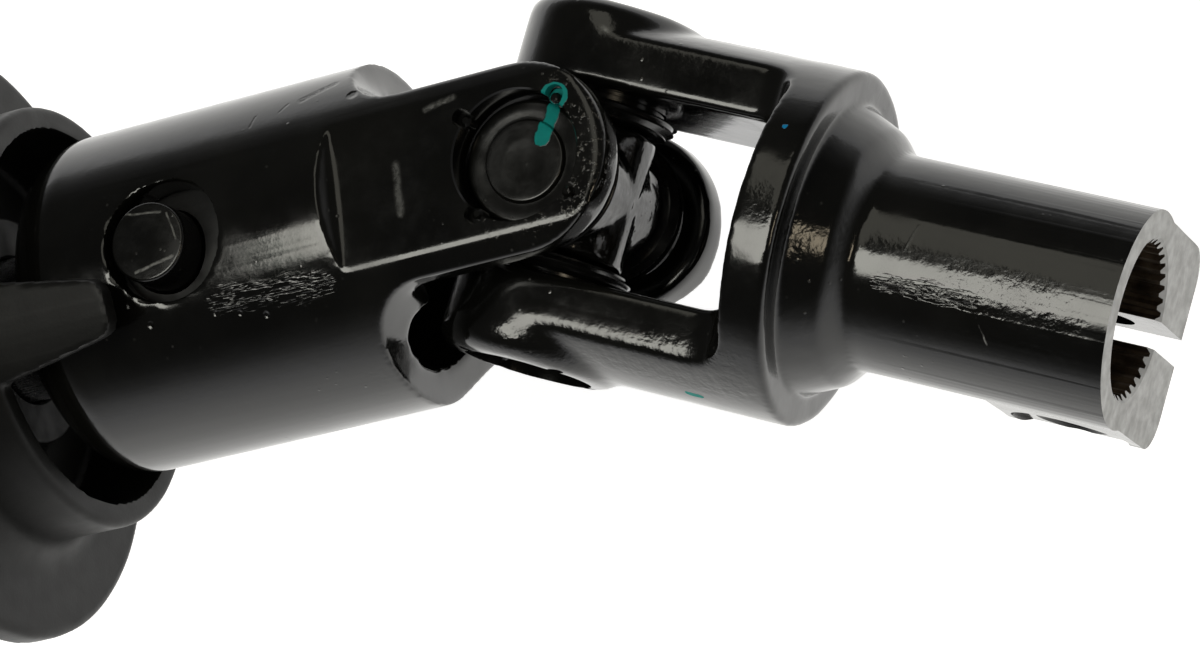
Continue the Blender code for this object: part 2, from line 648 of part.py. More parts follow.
def make_inner_shaft(frame):
    right = -SHAFT_START
    left = SHAFT_END - JOINT_PLACE
    flats_end = BUSH_BACK - FLAT_STANDOFF - JOINT_PLACE
    outline = [
        (right, 0),
        (right, SHAFT_RADIUS - EDGE_BREAK),
        (right - EDGE_BREAK, SHAFT_RADIUS),
        (left + EDGE_BREAK, SHAFT_RADIUS),
        (left, SHAFT_RADIUS - EDGE_BREAK),
        (left, 0),
    ]
    shaft = turned("inner_shaft", outline, frame, "X", steps=BEARING_ROUND, collection=PARTS)
    cut(shaft, pin_cutter(frame, STOP_PIN_RADIUS + GAP))
    for side in (1, -1):
        faces = sorted((side * SHAFT_FLAT, side * 2 * SHAFT_RADIUS))
        low = (left - REACH_PAST, faces[0], -2 * SHAFT_RADIUS)
        high = (flats_end, faces[1], 2 * SHAFT_RADIUS)
        cut(shaft, box("shaft_flat", low, high, frame))
    return finish(shaft, GROUND_STEEL)


def slide_bore(length, at, frame):
    """The space that the shaft's flatted end slides in. Its flats face local Y."""
    outline = double_d(SLEEVE_BORE, SHAFT_FLAT + GAP, BEARING_ROUND // 4)
    return prism("slide_bore", outline, length, frame, "X", at)


def make_sleeve(frame):
    """The outer half of the slide, bottomed in the coupler's socket."""
    middle = (COUPLER_PLACE - (SLEEVE_FRONT + SLEEVE_BACK) / 2, 0, 0)
    outline = double_d(SLEEVE_RADIUS, SLEEVE_FLAT, BEARING_ROUND // 4)
    sleeve = prism("slide_sleeve", outline, SLEEVE_LENGTH, frame, "X", middle, PARTS)
    cut(sleeve, slide_bore(2 * SLEEVE_LENGTH, middle, frame))
    return finish(sleeve, GLOSS_BLACK_PAINT)


def make_wiper(frame):
    """The rubber ring on the sleeve's mouth, which wipes the sliding shaft."""
    near = COUPLER_PLACE - SLEEVE_FRONT - GAP
    far = near - WIPER_LENGTH
    rim = SLEEVE_BORE + WIPER_WALL
    taper = WIPER_LENGTH / 3
    outline = [(near, 0), (near, rim), (far + taper, rim), (far, rim - taper), (far, 0)]
    wiper = turned("slide_wiper", outline, frame, "X", steps=BEARING_ROUND, collection=PARTS)
    cut(wiper, slide_bore(4 * WIPER_LENGTH, (near, 0, 0), frame))
    return finish(wiper, BLACK_RUBBER)


def make_coupler(frame):
    """A socket welded on the sleeve, and a clamp for the steering column's shaft."""
    past = COUPLER_LENGTH + REACH_PAST
    bead = arc((0, COUPLER_RADIUS - WELD_BEAD), WELD_BEAD, 90, 180)
    outline = [(past, 0), (past, HUB_RADIUS), (SOCKET_DEPTH + SOCKET_TAPER, HUB_RADIUS)]
    outline += [(SOCKET_DEPTH, COUPLER_RADIUS)] + bead + [(-WELD_BEAD, 0)]
    coupler = turned("coupler", outline, frame, "X", collection=PARTS)
    socket = double_d(SOCKET_RADIUS, SLEEVE_FLAT + GAP, SMALL_ROUND)
    cut(coupler, prism("socket", socket, 2 * SOCKET_DEPTH, frame, "X"))
    add_clamp(coupler, frame, COUPLER_LENGTH, COUPLER_LENGTH - SOCKET_DEPTH + GAP)
    return finish(coupler, GLOSS_BLACK_PAINT)


# Dash seal


def make_tongue(frame):
    """A tapered tab that carries the nose's wall on past the mouth."""
    outer = NOSE_RADIUS
    inner = NOSE_RADIUS - NOSE_WALL + GAP
    root = NOSE_LENGTH - NOSE_WALL
    tip = NOSE_LENGTH + TONGUE_LENGTH
    ring = [(tip, inner), (tip, outer), (root, outer), (root, inner)]
    tongue = turned("tongue", ring, frame, "X", closed=True)
    corner = TONGUE_TIP / 4
    half_root = TONGUE_ROOT / 2
    half_tip = TONGUE_TIP / 2
    outline = [(root - REACH_PAST, -half_root), (NOSE_LENGTH, -half_root), (tip - corner, -half_tip)]
    outline += [(tip, -half_tip + corner), (tip, half_tip - corner)]
    outline += [(tip - corner, half_tip), (NOSE_LENGTH, half_root), (root - REACH_PAST, half_root)]
    wedge = prism("tongue_outline", outline, 2 * NOSE_RADIUS, frame, "Z", (0, 0, 2 * NOSE_RADIUS))
    wedge.matrix_local = Matrix.Rotation(TONGUE_ANGLE, 4, "X") @ wedge.matrix_local
    combine(tongue, wedge, "INTERSECT")
    return tongue


def make_dash_seal(frame):
    """A flange that seats on the panel, a nose round the isolator's end and a hub that holds the bush."""
    nose_inner = NOSE_RADIUS - NOSE_WALL
    face = FLANGE_THICKNESS
    edge = arc((face - FLANGE_EDGE, FLANGE_RADIUS - FLANGE_EDGE), FLANGE_EDGE, 90, 0, 2)
    fillet = arc((face + NOSE_FILLET, NOSE_RADIUS + NOSE_FILLET), NOSE_FILLET, -90, -180)
    lip = arc((NOSE_LENGTH - NOSE_WALL / 3, NOSE_RADIUS - NOSE_WALL / 3), NOSE_WALL / 3, 0, 90, 2)
    hub = SEAL_HUB_BORE + SEAL_HUB_WALL
    hub_front = BUSH_FRONT - BUSH_LIP - GAP
    hub_back = BUSH_BACK
    outline = [(NOSE_LENGTH, nose_inner)] + lip + fillet + list(reversed(edge))
    outline += [
        (0, FLANGE_RADIUS),
        (0, SEAL_GROOVE_RADIUS + SEAL_GROOVE_DEPTH),
        (SEAL_GROOVE_DEPTH, SEAL_GROOVE_RADIUS),
        (0, SEAL_GROOVE_RADIUS - SEAL_GROOVE_DEPTH),
        (0, nose_inner),
        (face - SEAL_WEB, nose_inner - SEAL_WEB),
        (face - SEAL_WEB, hub),
        (hub_back, hub),
        (hub_back, SEAL_HUB_BORE),
        (hub_front, SEAL_HUB_BORE),
        (hub_front, hub),
        (face, hub + EDGE_BREAK),
        (face, nose_inner),
    ]
    seal = turned("dash_seal", outline, frame, "X", closed=True, collection=PARTS)
    join(seal, make_tongue(frame))
    return finish(seal, SEAL_RUBBER)


def make_bush(frame):
    """The plain bearing that the shaft turns in, with a lip on the seal's hub."""
    front = BUSH_FRONT
    back = BUSH_BACK
    lip = SEAL_HUB_BORE + SEAL_HUB_WALL - EDGE_BREAK
    outline = [
        (front, BUSH_BORE),
        (front, lip),
        (front - BUSH_LIP, lip),
        (front - BUSH_LIP, BUSH_RADIUS),
        (back, BUSH_RADIUS),
        (back, BUSH_BORE),
    ]
    bush = turned("shaft_bush", outline, frame, "X", closed=True, steps=BEARING_ROUND, collection=PARTS)
    return finish(bush, NYLON)


# Assembly

JOINT = make_frame("joint", None, Matrix.Translation((JOINT_PLACE, 0, 0)))
CROSS = make_frame("cross_pivot", JOINT, Matrix.Rotation(JOINT_BEND, 4, "Z"))
CLAMP = make_frame("clamp_pivot", CROSS, Matrix.Rotation(JOINT_TILT, 4, "Y"))
BACK = make_frame("coupler_end", None, Matrix.Translation((COUPLER_PLACE, 0, 0)) @ Matrix.Rotation(pi, 4, "Z"))
DASH = make_frame("dash", None, Matrix.Identity(4))

TEMPLATES = {"cup": make_cup(), "needles": make_needles(), "seal": make_bearing_seal()}

make_tube_yoke(JOINT)
make_isolator(JOINT)
make_stop_pin(JOINT)
make_inner_shaft(JOINT)
make_cross(CROSS)
make_clamp_yoke(CLAMP)
add_bearings("tube", JOINT, "Z")
add_bearings("clamp", CLAMP, "Y")

make_sleeve(BACK)
make_wiper(BACK)
make_coupler(BACK)

make_dash_seal(DASH)
make_bush(DASH)

for template in TEMPLATES.values():
    bpy.data.objects.remove(template, do_unlink=True)
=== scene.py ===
"""Looks for the steering shaft: painted forgings, seals, the dash seal, and the photograph's view."""
from math import asin, cos, pi, radians, sin, sqrt

import bmesh
import bpy
import numpy as np
from mathutils import Matrix, Vector, noise


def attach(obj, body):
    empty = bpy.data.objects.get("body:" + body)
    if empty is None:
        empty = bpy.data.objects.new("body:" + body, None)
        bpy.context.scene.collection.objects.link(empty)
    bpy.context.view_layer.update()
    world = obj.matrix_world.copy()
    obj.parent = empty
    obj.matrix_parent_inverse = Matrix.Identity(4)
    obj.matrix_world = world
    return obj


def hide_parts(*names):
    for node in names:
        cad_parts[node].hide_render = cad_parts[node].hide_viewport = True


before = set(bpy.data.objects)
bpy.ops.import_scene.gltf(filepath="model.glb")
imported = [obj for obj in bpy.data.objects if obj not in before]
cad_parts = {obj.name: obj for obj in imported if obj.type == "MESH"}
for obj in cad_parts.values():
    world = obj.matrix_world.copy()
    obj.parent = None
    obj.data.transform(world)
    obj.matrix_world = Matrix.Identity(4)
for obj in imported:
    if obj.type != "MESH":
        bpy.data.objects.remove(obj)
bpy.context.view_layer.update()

MM = 0.001
SCENE = bpy.context.scene

# Sizes, as in the part's source, in millimetres
GAP = 0.3
JOINT_BEND, JOINT_TILT = radians(-24.9), radians(3.0)
TRUNNION_END = 14.9
CUP_BORE, CUP_RADIUS, CUP_FLOOR, CUP_FACE = 6.9, 7.85, 15.2, 17.0
CUP_MOUTH, SEAL_START, SEAL_END = 9.9, 9.0, 11.1
CROSS_REACH = 8.7
EAR_HOLE, EAR_HALF, EAR_FLAT, EAR_INNER, ARM_INNER = 8.15, 12.0, 20.2, 14.8, 11.8
TUBE_RADIUS, TUBE_BORE, TUBE_REACH, DOME_FILLET, DOME_MOUTH = 22.225, 17.225, 71.5, 8.5, 12.0
TUBE_CROTCH, CROTCH_R, EAR_FLAT_LENGTH, EAR_ROOT = 23.0, 8.0, 24.0, 6.0
STOP_HOLE, STOP_AT, PIN_AT, PIN_RADIUS = 7.6, 47.3, 49.15, 5.15
FORGING, COLLAR_START, COLLAR_END, CLAMP_CROTCH_R = 22.2, 28.7, 34.7, 4.0
NECK_RADIUS, HUB_RADIUS, HUB_END = 18.2, 13.5, 73.7
TIP, ROOT, TEETH = 9.25, 9.8, 36
LUG_LENGTH, LUG_WIDTH, LUG_REACH, BOLT_OFFSET, BOLT_RADIUS = 17.7, 26.0, 21.5, 15.0, 4.2
SPOT_RADIUS, SPOT_DEPTH, SLOT, SLOT_LENGTH = 7.5, 0.8, 3.4, 27.0
SHAFT_RADIUS, SHAFT_FLAT, SHAFT_RIGHT, SHAFT_LEFT, FLATS_END = 9.5, 7.1, 60.5, -88.5, -20.5
SLEEVE_RADIUS, SLEEVE_FLAT, SLEEVE_RIGHT, SLEEVE_LEFT = 13.0, 10.6, -43.2, -146.2
COUPLER_AT, COUPLER_LENGTH, COUPLER_RADIUS, SOCKET_DEPTH = -131.5, 54.0, 16.7, 15.0
FLANGE, FLANGE_T, NOSE, NOSE_IN, NOSE_LENGTH, GROOVE = 40.3, 4.0, 28.2, 24.9, 17.1, 33.0
BUSH_IN, BUSH_OUT, HUB_BORE, SEAL_HUB, BUSH_FRONT, BUSH_BACK = 9.8, 12.2, 12.5, 15.7, 8.0, -7.0
FINE = 168

JOINT = Matrix.Translation((87.5, 0, 0))
CROSS = JOINT @ Matrix.Rotation(JOINT_BEND, 4, "Z")
CLAMP = CROSS @ Matrix.Rotation(JOINT_TILT, 4, "Y")
BACK = Matrix.Translation((COUPLER_AT, 0, 0)) @ Matrix.Rotation(pi, 4, "Z")
WORLD = Matrix.Identity(4)
ALONG = {
    "X": Matrix.Identity(4),
    "Y": Matrix.Rotation(pi / 2, 4, "Z"),
    "-Y": Matrix.Rotation(-pi / 2, 4, "Z"),
    "Z": Matrix.Rotation(-pi / 2, 4, "Y"),
    "-Z": Matrix.Rotation(pi / 2, 4, "Y"),
}

# Making and cutting solids. Everything here is in millimetres until it is finished.

WORK = bpy.data.collections.new("work")
SCENE.collection.children.link(WORK)


def mesh_object(name, verts, faces):
    mesh = bpy.data.meshes.new(name)
    mesh.from_pydata(verts, [], faces)
    obj = bpy.data.objects.new(name, mesh)
    WORK.objects.link(obj)
    return obj


def arc(centre, radius, start, end, steps=12):
    angles = [radians(start + (end - start) * i / steps) for i in range(steps + 1)]
    return [(centre[0] + radius * cos(a), centre[1] + radius * sin(a)) for a in angles]


def spread(points, most=1.5):
    """The same outline with its long straight runs divided."""
    out = [points[0]]
    for a, b in zip(points, points[1:]):
        count = max(1, int(sqrt((a[0] - b[0]) ** 2 + (a[1] - b[1]) ** 2) / most))
        run, rise = (b[0] - a[0]), (b[1] - a[1])
        out += [(a[0] + run * i / count, a[1] + rise * i / count) for i in range(1, count + 1)]
    return out


def lathe(name, outline, along="X", at=(0, 0, 0), steps=FINE, closed=False):
    """A turned solid from (place along the axis, radius) points, as one closed mesh."""
    verts, rows = [], []
    for place, radius in outline:
        if radius < 1e-9:
            rows.append([len(verts)] * steps)
            verts.append((place, 0, 0))
        else:
            rows.append(list(range(len(verts), len(verts) + steps)))
            turns = [2 * pi * i / steps for i in range(steps)]
            verts += [(place, radius * cos(turn), radius * sin(turn)) for turn in turns]
    faces = []
    pairs = list(zip(rows, rows[1:])) + ([(rows[-1], rows[0])] if closed else [])
    for first, second in pairs:
        for i in range(steps):
            j = (i + 1) % steps
            ring = [first[i], first[j], second[j], second[i]]
            ring = [v for n, v in enumerate(ring) if v != ring[n - 1]]
            if len(ring) > 2:
                faces.append(ring)
    obj = mesh_object(name, verts, faces)
    obj.data.transform(Matrix.Translation(at) @ ALONG[along])
    return fix_normals(obj)


def fix_normals(obj):
    bm = bmesh.new()
    bm.from_mesh(obj.data)
    bmesh.ops.recalc_face_normals(bm, faces=bm.faces)
    bm.to_mesh(obj.data)
    bm.free()
    return obj


def prism(name, outline, low, high, turn=Matrix.Identity(4)):
    """An outline in the plane across local Z, from low to high."""
    n = len(outline)
    verts = [(x, y, low) for x, y in outline] + [(x, y, high) for x, y in outline]
    faces = [list(range(n))[::-1], list(range(n, 2 * n))]
    faces += [[i, (i + 1) % n, n + (i + 1) % n, n + i] for i in range(n)]
    obj = mesh_object(name, verts, faces)
    obj.data.transform(turn)
    return fix_normals(obj)


def block(name, low, high):
    outline = [(low[0], low[1]), (high[0], low[1]), (high[0], high[1]), (low[0], high[1])]
    return prism(name, outline, low[2], high[2])


ACROSS_X = Matrix(((0, 0, 1, 0), (1, 0, 0, 0), (0, 1, 0, 0), (0, 0, 0, 1)))  # outline (y, z), thick along X
ACROSS_Y = Matrix(((1, 0, 0, 0), (0, 0, 1, 0), (0, 1, 0, 0), (0, 0, 0, 1)))  # outline (x, z), thick along Y


def settle(obj):
    graph = bpy.context.evaluated_depsgraph_get()
    mesh = bpy.data.meshes.new_from_object(obj.evaluated_get(graph))
    obj.modifiers.clear()
    old, obj.data = obj.data, mesh
    bpy.data.meshes.remove(old)
    return obj


def combine(obj, operation, *others):
    for other in others:
        before = len(obj.data.vertices)
        modifier = obj.modifiers.new("b", "BOOLEAN")
        modifier.operation, modifier.object, modifier.solver = operation, other, "MANIFOLD"
        settle(obj)
        if len(obj.data.vertices) < 4:
            raise RuntimeError(f"{operation} of {other.name} left nothing of {obj.name}")
        if len(obj.data.vertices) == before:
            print("unchanged:", obj.name, operation, other.name)
        data = other.data
        bpy.data.objects.remove(other)
        bpy.data.meshes.remove(data)
    return obj


def cut(obj, *others):
    return combine(obj, "DIFFERENCE", *others)


def join(obj, *others):
    return combine(obj, "UNION", *others)


def coordinates(obj):
    co = np.empty(3 * len(obj.data.vertices))
    obj.data.vertices.foreach_get("co", co)
    return co.reshape(-1, 3)


def normals(obj):
    no = np.empty(3 * len(obj.data.vertices))
    obj.data.vertex_normals.foreach_get("vector", no)
    return no.reshape(-1, 3)


def soften(obj, voxel=0.4, rounds=5, keep=0.4, more=()):
    """Rounds every edge a little, as paint and forging do: an even mesh on the same surface, then smoothed.
    more lists (rounds, weight of a point) for areas that are rounded further."""
    target = bpy.data.objects.new("target", obj.data.copy())
    WORK.objects.link(target)
    remesh = obj.modifiers.new("r", "REMESH")
    remesh.mode, remesh.voxel_size = "VOXEL", voxel
    wrap = obj.modifiers.new("w", "SHRINKWRAP")
    wrap.target = target
    smooth = obj.modifiers.new("s", "SMOOTH")
    smooth.factor, smooth.iterations = 0.5, rounds
    for extra, weight in more:
        settle(obj)
        group = obj.vertex_groups.new(name="area")
        for index, value in enumerate(weight(coordinates(obj))):
            if value > 0.01:
                group.add([index], float(value), "REPLACE")
        smooth = obj.modifiers.new("m", "SMOOTH")
        smooth.factor, smooth.iterations, smooth.vertex_group = 0.5, extra, "area"
        settle(obj)
        obj.vertex_groups.clear()
    if keep < 1:
        fewer = obj.modifiers.new("d", "DECIMATE")
        fewer.ratio = keep
    settle(obj)
    data = target.data
    bpy.data.objects.remove(target)
    bpy.data.meshes.remove(data)
    return obj


def undulate(obj, amounts, seed=0.0):
    """Thick paint's slow waves, as (wavelength, depth) pairs, always inwards."""
    co, no = coordinates(obj), normals(obj)
    depth = np.zeros(len(co))
    for wavelength, amount in amounts:
        scaled = co / wavelength + seed
        depth += amount * (np.array([noise.noise(p) for p in scaled]) - 1)
    obj.data.vertices.foreach_set("co", (co + no * depth[:, None]).ravel())
    obj.data.update()
    return obj


def dent(obj, marks):
    """Pushes the surface in (or out, with a negative depth) round points, as (centre, radius, depth)."""
    co, no = coordinates(obj), normals(obj)
    for centre, radius, depth in marks:
        far = np.linalg.norm(co - np.array(centre), axis=1) / radius
        co = co - no * (depth * np.clip(1 - far**2, 0, 1) ** 2)[:, None]
    obj.data.vertices.foreach_set("co", co.ravel())
    obj.data.update()
    return obj


def present(obj, name, node, body, materials, where=None, matrix=WORLD, sharp=34):
    """Puts a finished solid in the row frame and names what it stands for; where picks face materials."""
    mesh = obj.data
    mesh.materials.clear()
    for material in materials:
        mesh.materials.append(material)
    if where is not None:
        centre = np.empty(3 * len(mesh.polygons))
        facing = np.empty(3 * len(mesh.polygons))
        mesh.polygons.foreach_get("center", centre)
        mesh.polygons.foreach_get("normal", facing)
        index = where(centre.reshape(-1, 3), facing.reshape(-1, 3)).astype(np.int32)
    else:
        index = np.zeros(len(mesh.polygons), dtype=np.int32)
    mesh.polygons.foreach_set("material_index", index)
    mesh.transform(matrix)
    shift = Matrix.Diagonal((MM, MM, MM, 1))
    mesh.transform(shift)
    mesh.shade_smooth()
    mesh.set_sharp_from_angle(angle=radians(sharp))
    mesh.update()
    WORK.objects.unlink(obj)
    SCENE.collection.objects.link(obj)
    obj.name = mesh.name = name
    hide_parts(node)
    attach(obj, body)
    print("piece", name, len(mesh.polygons))
    return obj


# Materials


def node(tree, kind, inputs=None, **settings):
    made = tree.nodes.new("ShaderNode" + kind)
    for key, value in settings.items():
        setattr(made, key, value)
    for key, value in (inputs or {}).items():
        socket = made.inputs[key]
        if isinstance(value, bpy.types.NodeSocket):
            tree.links.new(value, socket)
        else:
            socket.default_value = value
    return made


def math(tree, operation, a, b=0.0, clamp=False):
    return node(tree, "Math", {0: a, 1: b}, operation=operation, use_clamp=clamp).outputs[0]


def ramp(tree, value, low, high, out_low=0.0, out_high=1.0):
    inputs = {"Value": value, "From Min": low, "From Max": high, "To Min": out_low, "To Max": out_high}
    return node(tree, "MapRange", inputs, interpolation_type="SMOOTHSTEP").outputs[0]


def grain(tree, place, wavelength, detail=2.0, roughness=0.5, stretch=None):
    """Noise of a wavelength in millimetres, centred on 0.5."""
    if stretch:
        place = node(tree, "Mapping", {"Vector": place, "Scale": stretch}).outputs[0]
    inputs = {"Vector": place, "Scale": 1000 / wavelength, "Detail": detail, "Roughness": roughness}
    return node(tree, "TexNoise", inputs).outputs["Fac"]


def mix(tree, factor, a, b):
    made = node(tree, "Mix", data_type="RGBA")
    for socket, value in ((made.inputs["Factor"], factor), (made.inputs["A"], a), (made.inputs["B"], b)):
        if isinstance(value, bpy.types.NodeSocket):
            tree.links.new(value, socket)
        elif isinstance(value, tuple):
            socket.default_value = (*value, 1)
        else:
            socket.default_value = value
    colors = [s for s in made.inputs if s.type == "RGBA"]
    for socket, value in zip(colors, (a, b)):
        if isinstance(value, bpy.types.NodeSocket):
            tree.links.new(value, socket)
        else:
            socket.default_value = (*value, 1)
    return [s for s in made.outputs if s.type == "RGBA"][0]


def segment(tree, place, start, end, wobble=0.0, width=3.0):
    """Distance in millimetres from a point of the surface to a segment given in the row frame."""
    a, b = Vector(start) * MM, Vector(end) * MM
    if wobble:
        inputs = {"Vector": place, "Scale": 1000 / width, "Detail": 3.0}
        random = node(tree, "TexNoise", inputs).outputs["Color"]
        random = node(tree, "VectorMath", {0: random, 1: (0.5, 0.5, 0.5)}, operation="SUBTRACT").outputs[0]
        random = node(tree, "VectorMath", {0: random, "Scale": wobble * 2 * MM}, operation="SCALE").outputs[0]
        place = node(tree, "VectorMath", {0: place, 1: random}, operation="ADD").outputs[0]
    way = b - a
    off = node(tree, "VectorMath", {0: place, 1: tuple(a)}, operation="SUBTRACT").outputs[0]
    if way.length > 1e-9:
        scale = tuple(way / way.length_squared)
        share = node(tree, "VectorMath", {0: off, 1: scale}, operation="DOT_PRODUCT").outputs["Value"]
        share = math(tree, "MINIMUM", math(tree, "MAXIMUM", share, 0.0), 1.0)
        along = node(tree, "VectorMath", {0: tuple(way), "Scale": share}, operation="SCALE").outputs[0]
        off = node(tree, "VectorMath", {0: off, 1: along}, operation="SUBTRACT").outputs[0]
    length = node(tree, "VectorMath", {0: off}, operation="LENGTH").outputs["Value"]
    return math(tree, "MULTIPLY", length, 1000.0)


def start_material(name, turn=None):
    """A Principled material, and the surface's own coordinates turned so that X runs along the piece."""
    material = bpy.data.materials.new(name)
    material.use_nodes = True
    tree = material.node_tree
    shader = tree.nodes["Principled BSDF"]
    place = node(tree, "TexCoord").outputs["Object"]
    local = place
    if turn is not None:
        euler = turn.inverted().to_euler()
        turned = {"Vector": place, "Rotation": tuple(euler)}
        local = node(tree, "Mapping", turned, vector_type="POINT").outputs[0]
    return material, tree, shader, place, local


def set_bump(tree, shader, heights, extra=None):
    """Bump from heights in millimetres."""
    total = None
    for height in heights:
        total = height if total is None else math(tree, "ADD", total, height)
    bump = node(tree, "Bump", {"Height": total, "Distance": MM, "Strength": 1.0}).outputs[0]
    tree.links.new(bump, shader.inputs["Normal"])


def centred(tree, value, amount):
    return math(tree, "MULTIPLY", math(tree, "SUBTRACT", value, 0.5), amount)


TEAL = (0.0, 0.165, 0.145)
BLUE = (0.0, 0.16, 0.34)


def paint(name, turn=None, orange=0.010, fine=0.0035, **marks):
    """Thick gloss black paint: orange peel, trapped dust, runs, and the marks of handling."""
    wrinkle, scars, spots = marks.get("wrinkle"), marks.get("scars", ()), marks.get("spots", ())
    pits, crumbs, dusty = marks.get("pits", ()), marks.get("crumbs", ()), marks.get("dusty", ())
    rough = marks.get("rough", 0.13)
    material, tree, shader, place, local = start_material(name, turn)
    heights = [
        centred(tree, grain(tree, place, 2.2, 2.0), orange),
        centred(tree, grain(tree, place, 0.3, 2.0), fine),
    ]
    # dust under the paint, in patches
    cells = {"Vector": place, "Scale": 1000 / 1.7, "Randomness": 1.0}
    dust = node(tree, "TexVoronoi", cells).outputs["Distance"]
    patch = ramp(tree, grain(tree, place, 9.0, 2.0), 0.5, 0.68)
    bump = math(tree, "MULTIPLY", ramp(tree, dust, 0.16, 0.03), patch)
    heights.append(math(tree, "MULTIPLY", bump, 0.035))
    shade = ramp(tree, grain(tree, place, 14.0, 3.0), 0.3, 0.75)
    color = mix(tree, shade, (0.0018, 0.0018, 0.0015), (0.0042, 0.0041, 0.0034))
    color = mix(tree, math(tree, "MULTIPLY", bump, 0.5), color, (0.06, 0.06, 0.055))
    roughness = ramp(tree, grain(tree, place, 5.0, 4.0, 0.6), 0.25, 0.8, rough * 0.65, rough * 1.5)
    for start, end, reach in dusty:
        near = ramp(tree, segment(tree, place, start, end, 1.5, 3.0), reach, reach * 0.4)
        specks = ramp(tree, grain(tree, place, 0.55, 3.0, 0.7), 0.56, 0.70)
        specks = math(tree, "MULTIPLY", specks, ramp(tree, grain(tree, place, 4.0, 2.0), 0.35, 0.6))
        mask = math(tree, "MULTIPLY", near, specks)
        color = mix(tree, mask, color, (0.050, 0.046, 0.038))
        heights.append(math(tree, "MULTIPLY", mask, 0.02))
    for start, end, reach, depth in crumbs:
        near = ramp(tree, segment(tree, place, start, end, 1.0, 3.0), reach, reach * 0.5)
        lumps = centred(tree, grain(tree, place, 1.1, 3.0, 0.6), depth)
        heights.append(math(tree, "MULTIPLY", near, lumps))
    if wrinkle:
        centre, size, depth, stretch = wrinkle
        near = segment(tree, place, centre[0], centre[1], 1.0, 4.0)
        mask = ramp(tree, near, size, size * 0.45)
        lines = grain(tree, local, 0.6, 2.0, 0.5, stretch)
        lines = ramp(tree, math(tree, "ABSOLUTE", math(tree, "SUBTRACT", lines, 0.5)), 0.0, 0.09)
        heights.append(math(tree, "MULTIPLY", math(tree, "MULTIPLY", lines, mask), depth))
    for start, end, width, tint, rise in scars:
        far = segment(tree, place, start, end, 0.25, 2.0)
        mask = ramp(tree, far, width, 0.0)
        speck = ramp(tree, grain(tree, place, 0.5, 3.0, 0.7), 0.3, 0.7, 0.35, 1.0)
        mask = math(tree, "MULTIPLY", mask, speck)
        color = mix(tree, mask, color, tint)
        roughness = math(tree, "ADD", roughness, math(tree, "MULTIPLY", mask, 0.3))
        heights.append(math(tree, "MULTIPLY", mask, rise))
    for centre, radius, depth in pits:
        far = segment(tree, place, centre, centre, 0.15, 0.8)
        heights.append(math(tree, "MULTIPLY", ramp(tree, far, radius, radius * 0.3), -depth))
    shine = None
    for kind, places, width, tint in spots:
        far = None
        for start, end in places:
            one = segment(tree, place, start, end, 0.3, 0.9)
            far = one if far is None else math(tree, "MINIMUM", far, one)
        if kind == "ring":
            far = math(tree, "ABSOLUTE", math(tree, "SUBTRACT", far, width[0]))
            mask = ramp(tree, far, width[1], width[1] * 0.8)
        else:
            mask = ramp(tree, far, width, width * 0.82)
        tone = grain(tree, place, 0.7, 3.0)
        tinted = mix(tree, tone, tuple(c * 0.7 for c in tint), tint)
        color = mix(tree, mask, color, tinted)
        roughness = math(tree, "ADD", roughness, math(tree, "MULTIPLY", mask, 0.5))
        dull = ramp(tree, mask, 0.0, 1.0, 0.5, 0.12)
        shine = dull if shine is None else math(tree, "MINIMUM", shine, dull)
        heights.append(math(tree, "MULTIPLY", mask, 0.04))
    if shine is not None:
        tree.links.new(shine, shader.inputs["Specular IOR Level"])
    tree.links.new(color, shader.inputs["Base Color"])
    tree.links.new(roughness, shader.inputs["Roughness"])
    shader.inputs["IOR"].default_value = 1.52
    set_bump(tree, shader, heights)
    return material


def steel(name, color, rough=0.35, metallic=1.0, turn=None, stretch=(1, 14, 14), scratches=0.006, stain=0.35):
    """Machined steel: tool marks, oil stains and fine scratches."""
    material, tree, shader, place, local = start_material(name, turn)
    lines = grain(tree, local, 1.6, 4.0, 0.6, stretch)
    cloud = grain(tree, place, 2.6, 4.0, 0.6)
    dark = tuple(c * (1 - stain) for c in color)
    tone = mix(tree, ramp(tree, cloud, 0.3, 0.7), dark, color)
    tree.links.new(tone, shader.inputs["Base Color"])
    worn = math(tree, "ADD", lines, math(tree, "MULTIPLY", cloud, 0.6))
    roughness = ramp(tree, worn, 0.5, 1.1, rough * 0.7, rough * 1.4)
    tree.links.new(roughness, shader.inputs["Roughness"])
    shader.inputs["Metallic"].default_value = metallic
    heights = [centred(tree, lines, scratches), centred(tree, grain(tree, place, 0.4, 3.0), scratches * 0.5)]
    set_bump(tree, shader, heights)
    return material


def rubber(name, dark, light, rough=0.6, grit=0.012, bloom=0.5, shine=0.5, uneven=0.22):
    """Moulded rubber: fine grit, a dusty bloom and rub marks."""
    material, tree, shader, place, local = start_material(name)
    cloud = grain(tree, place, 12.0, 5.0, 0.62)
    speck = grain(tree, place, 0.5, 3.0, 0.6)
    tone = ramp(tree, math(tree, "ADD", cloud, math(tree, "MULTIPLY", speck, 0.3)), 0.45, 0.95, 0.0, bloom)
    tree.links.new(mix(tree, tone, dark, light), shader.inputs["Base Color"])
    rubbed = grain(tree, place, 3.5, 4.0)
    roughness = ramp(tree, rubbed, 0.3, 0.75, rough * (1 - uneven), min(1.0, rough * (1 + uneven)))
    tree.links.new(roughness, shader.inputs["Roughness"])
    shader.inputs["Specular IOR Level"].default_value = shine
    swell = centred(tree, grain(tree, place, 4.0, 3.0), grit * 11.4 * uneven)
    heights = [centred(tree, speck, grit), swell]
    set_bump(tree, shader, heights)
    return material


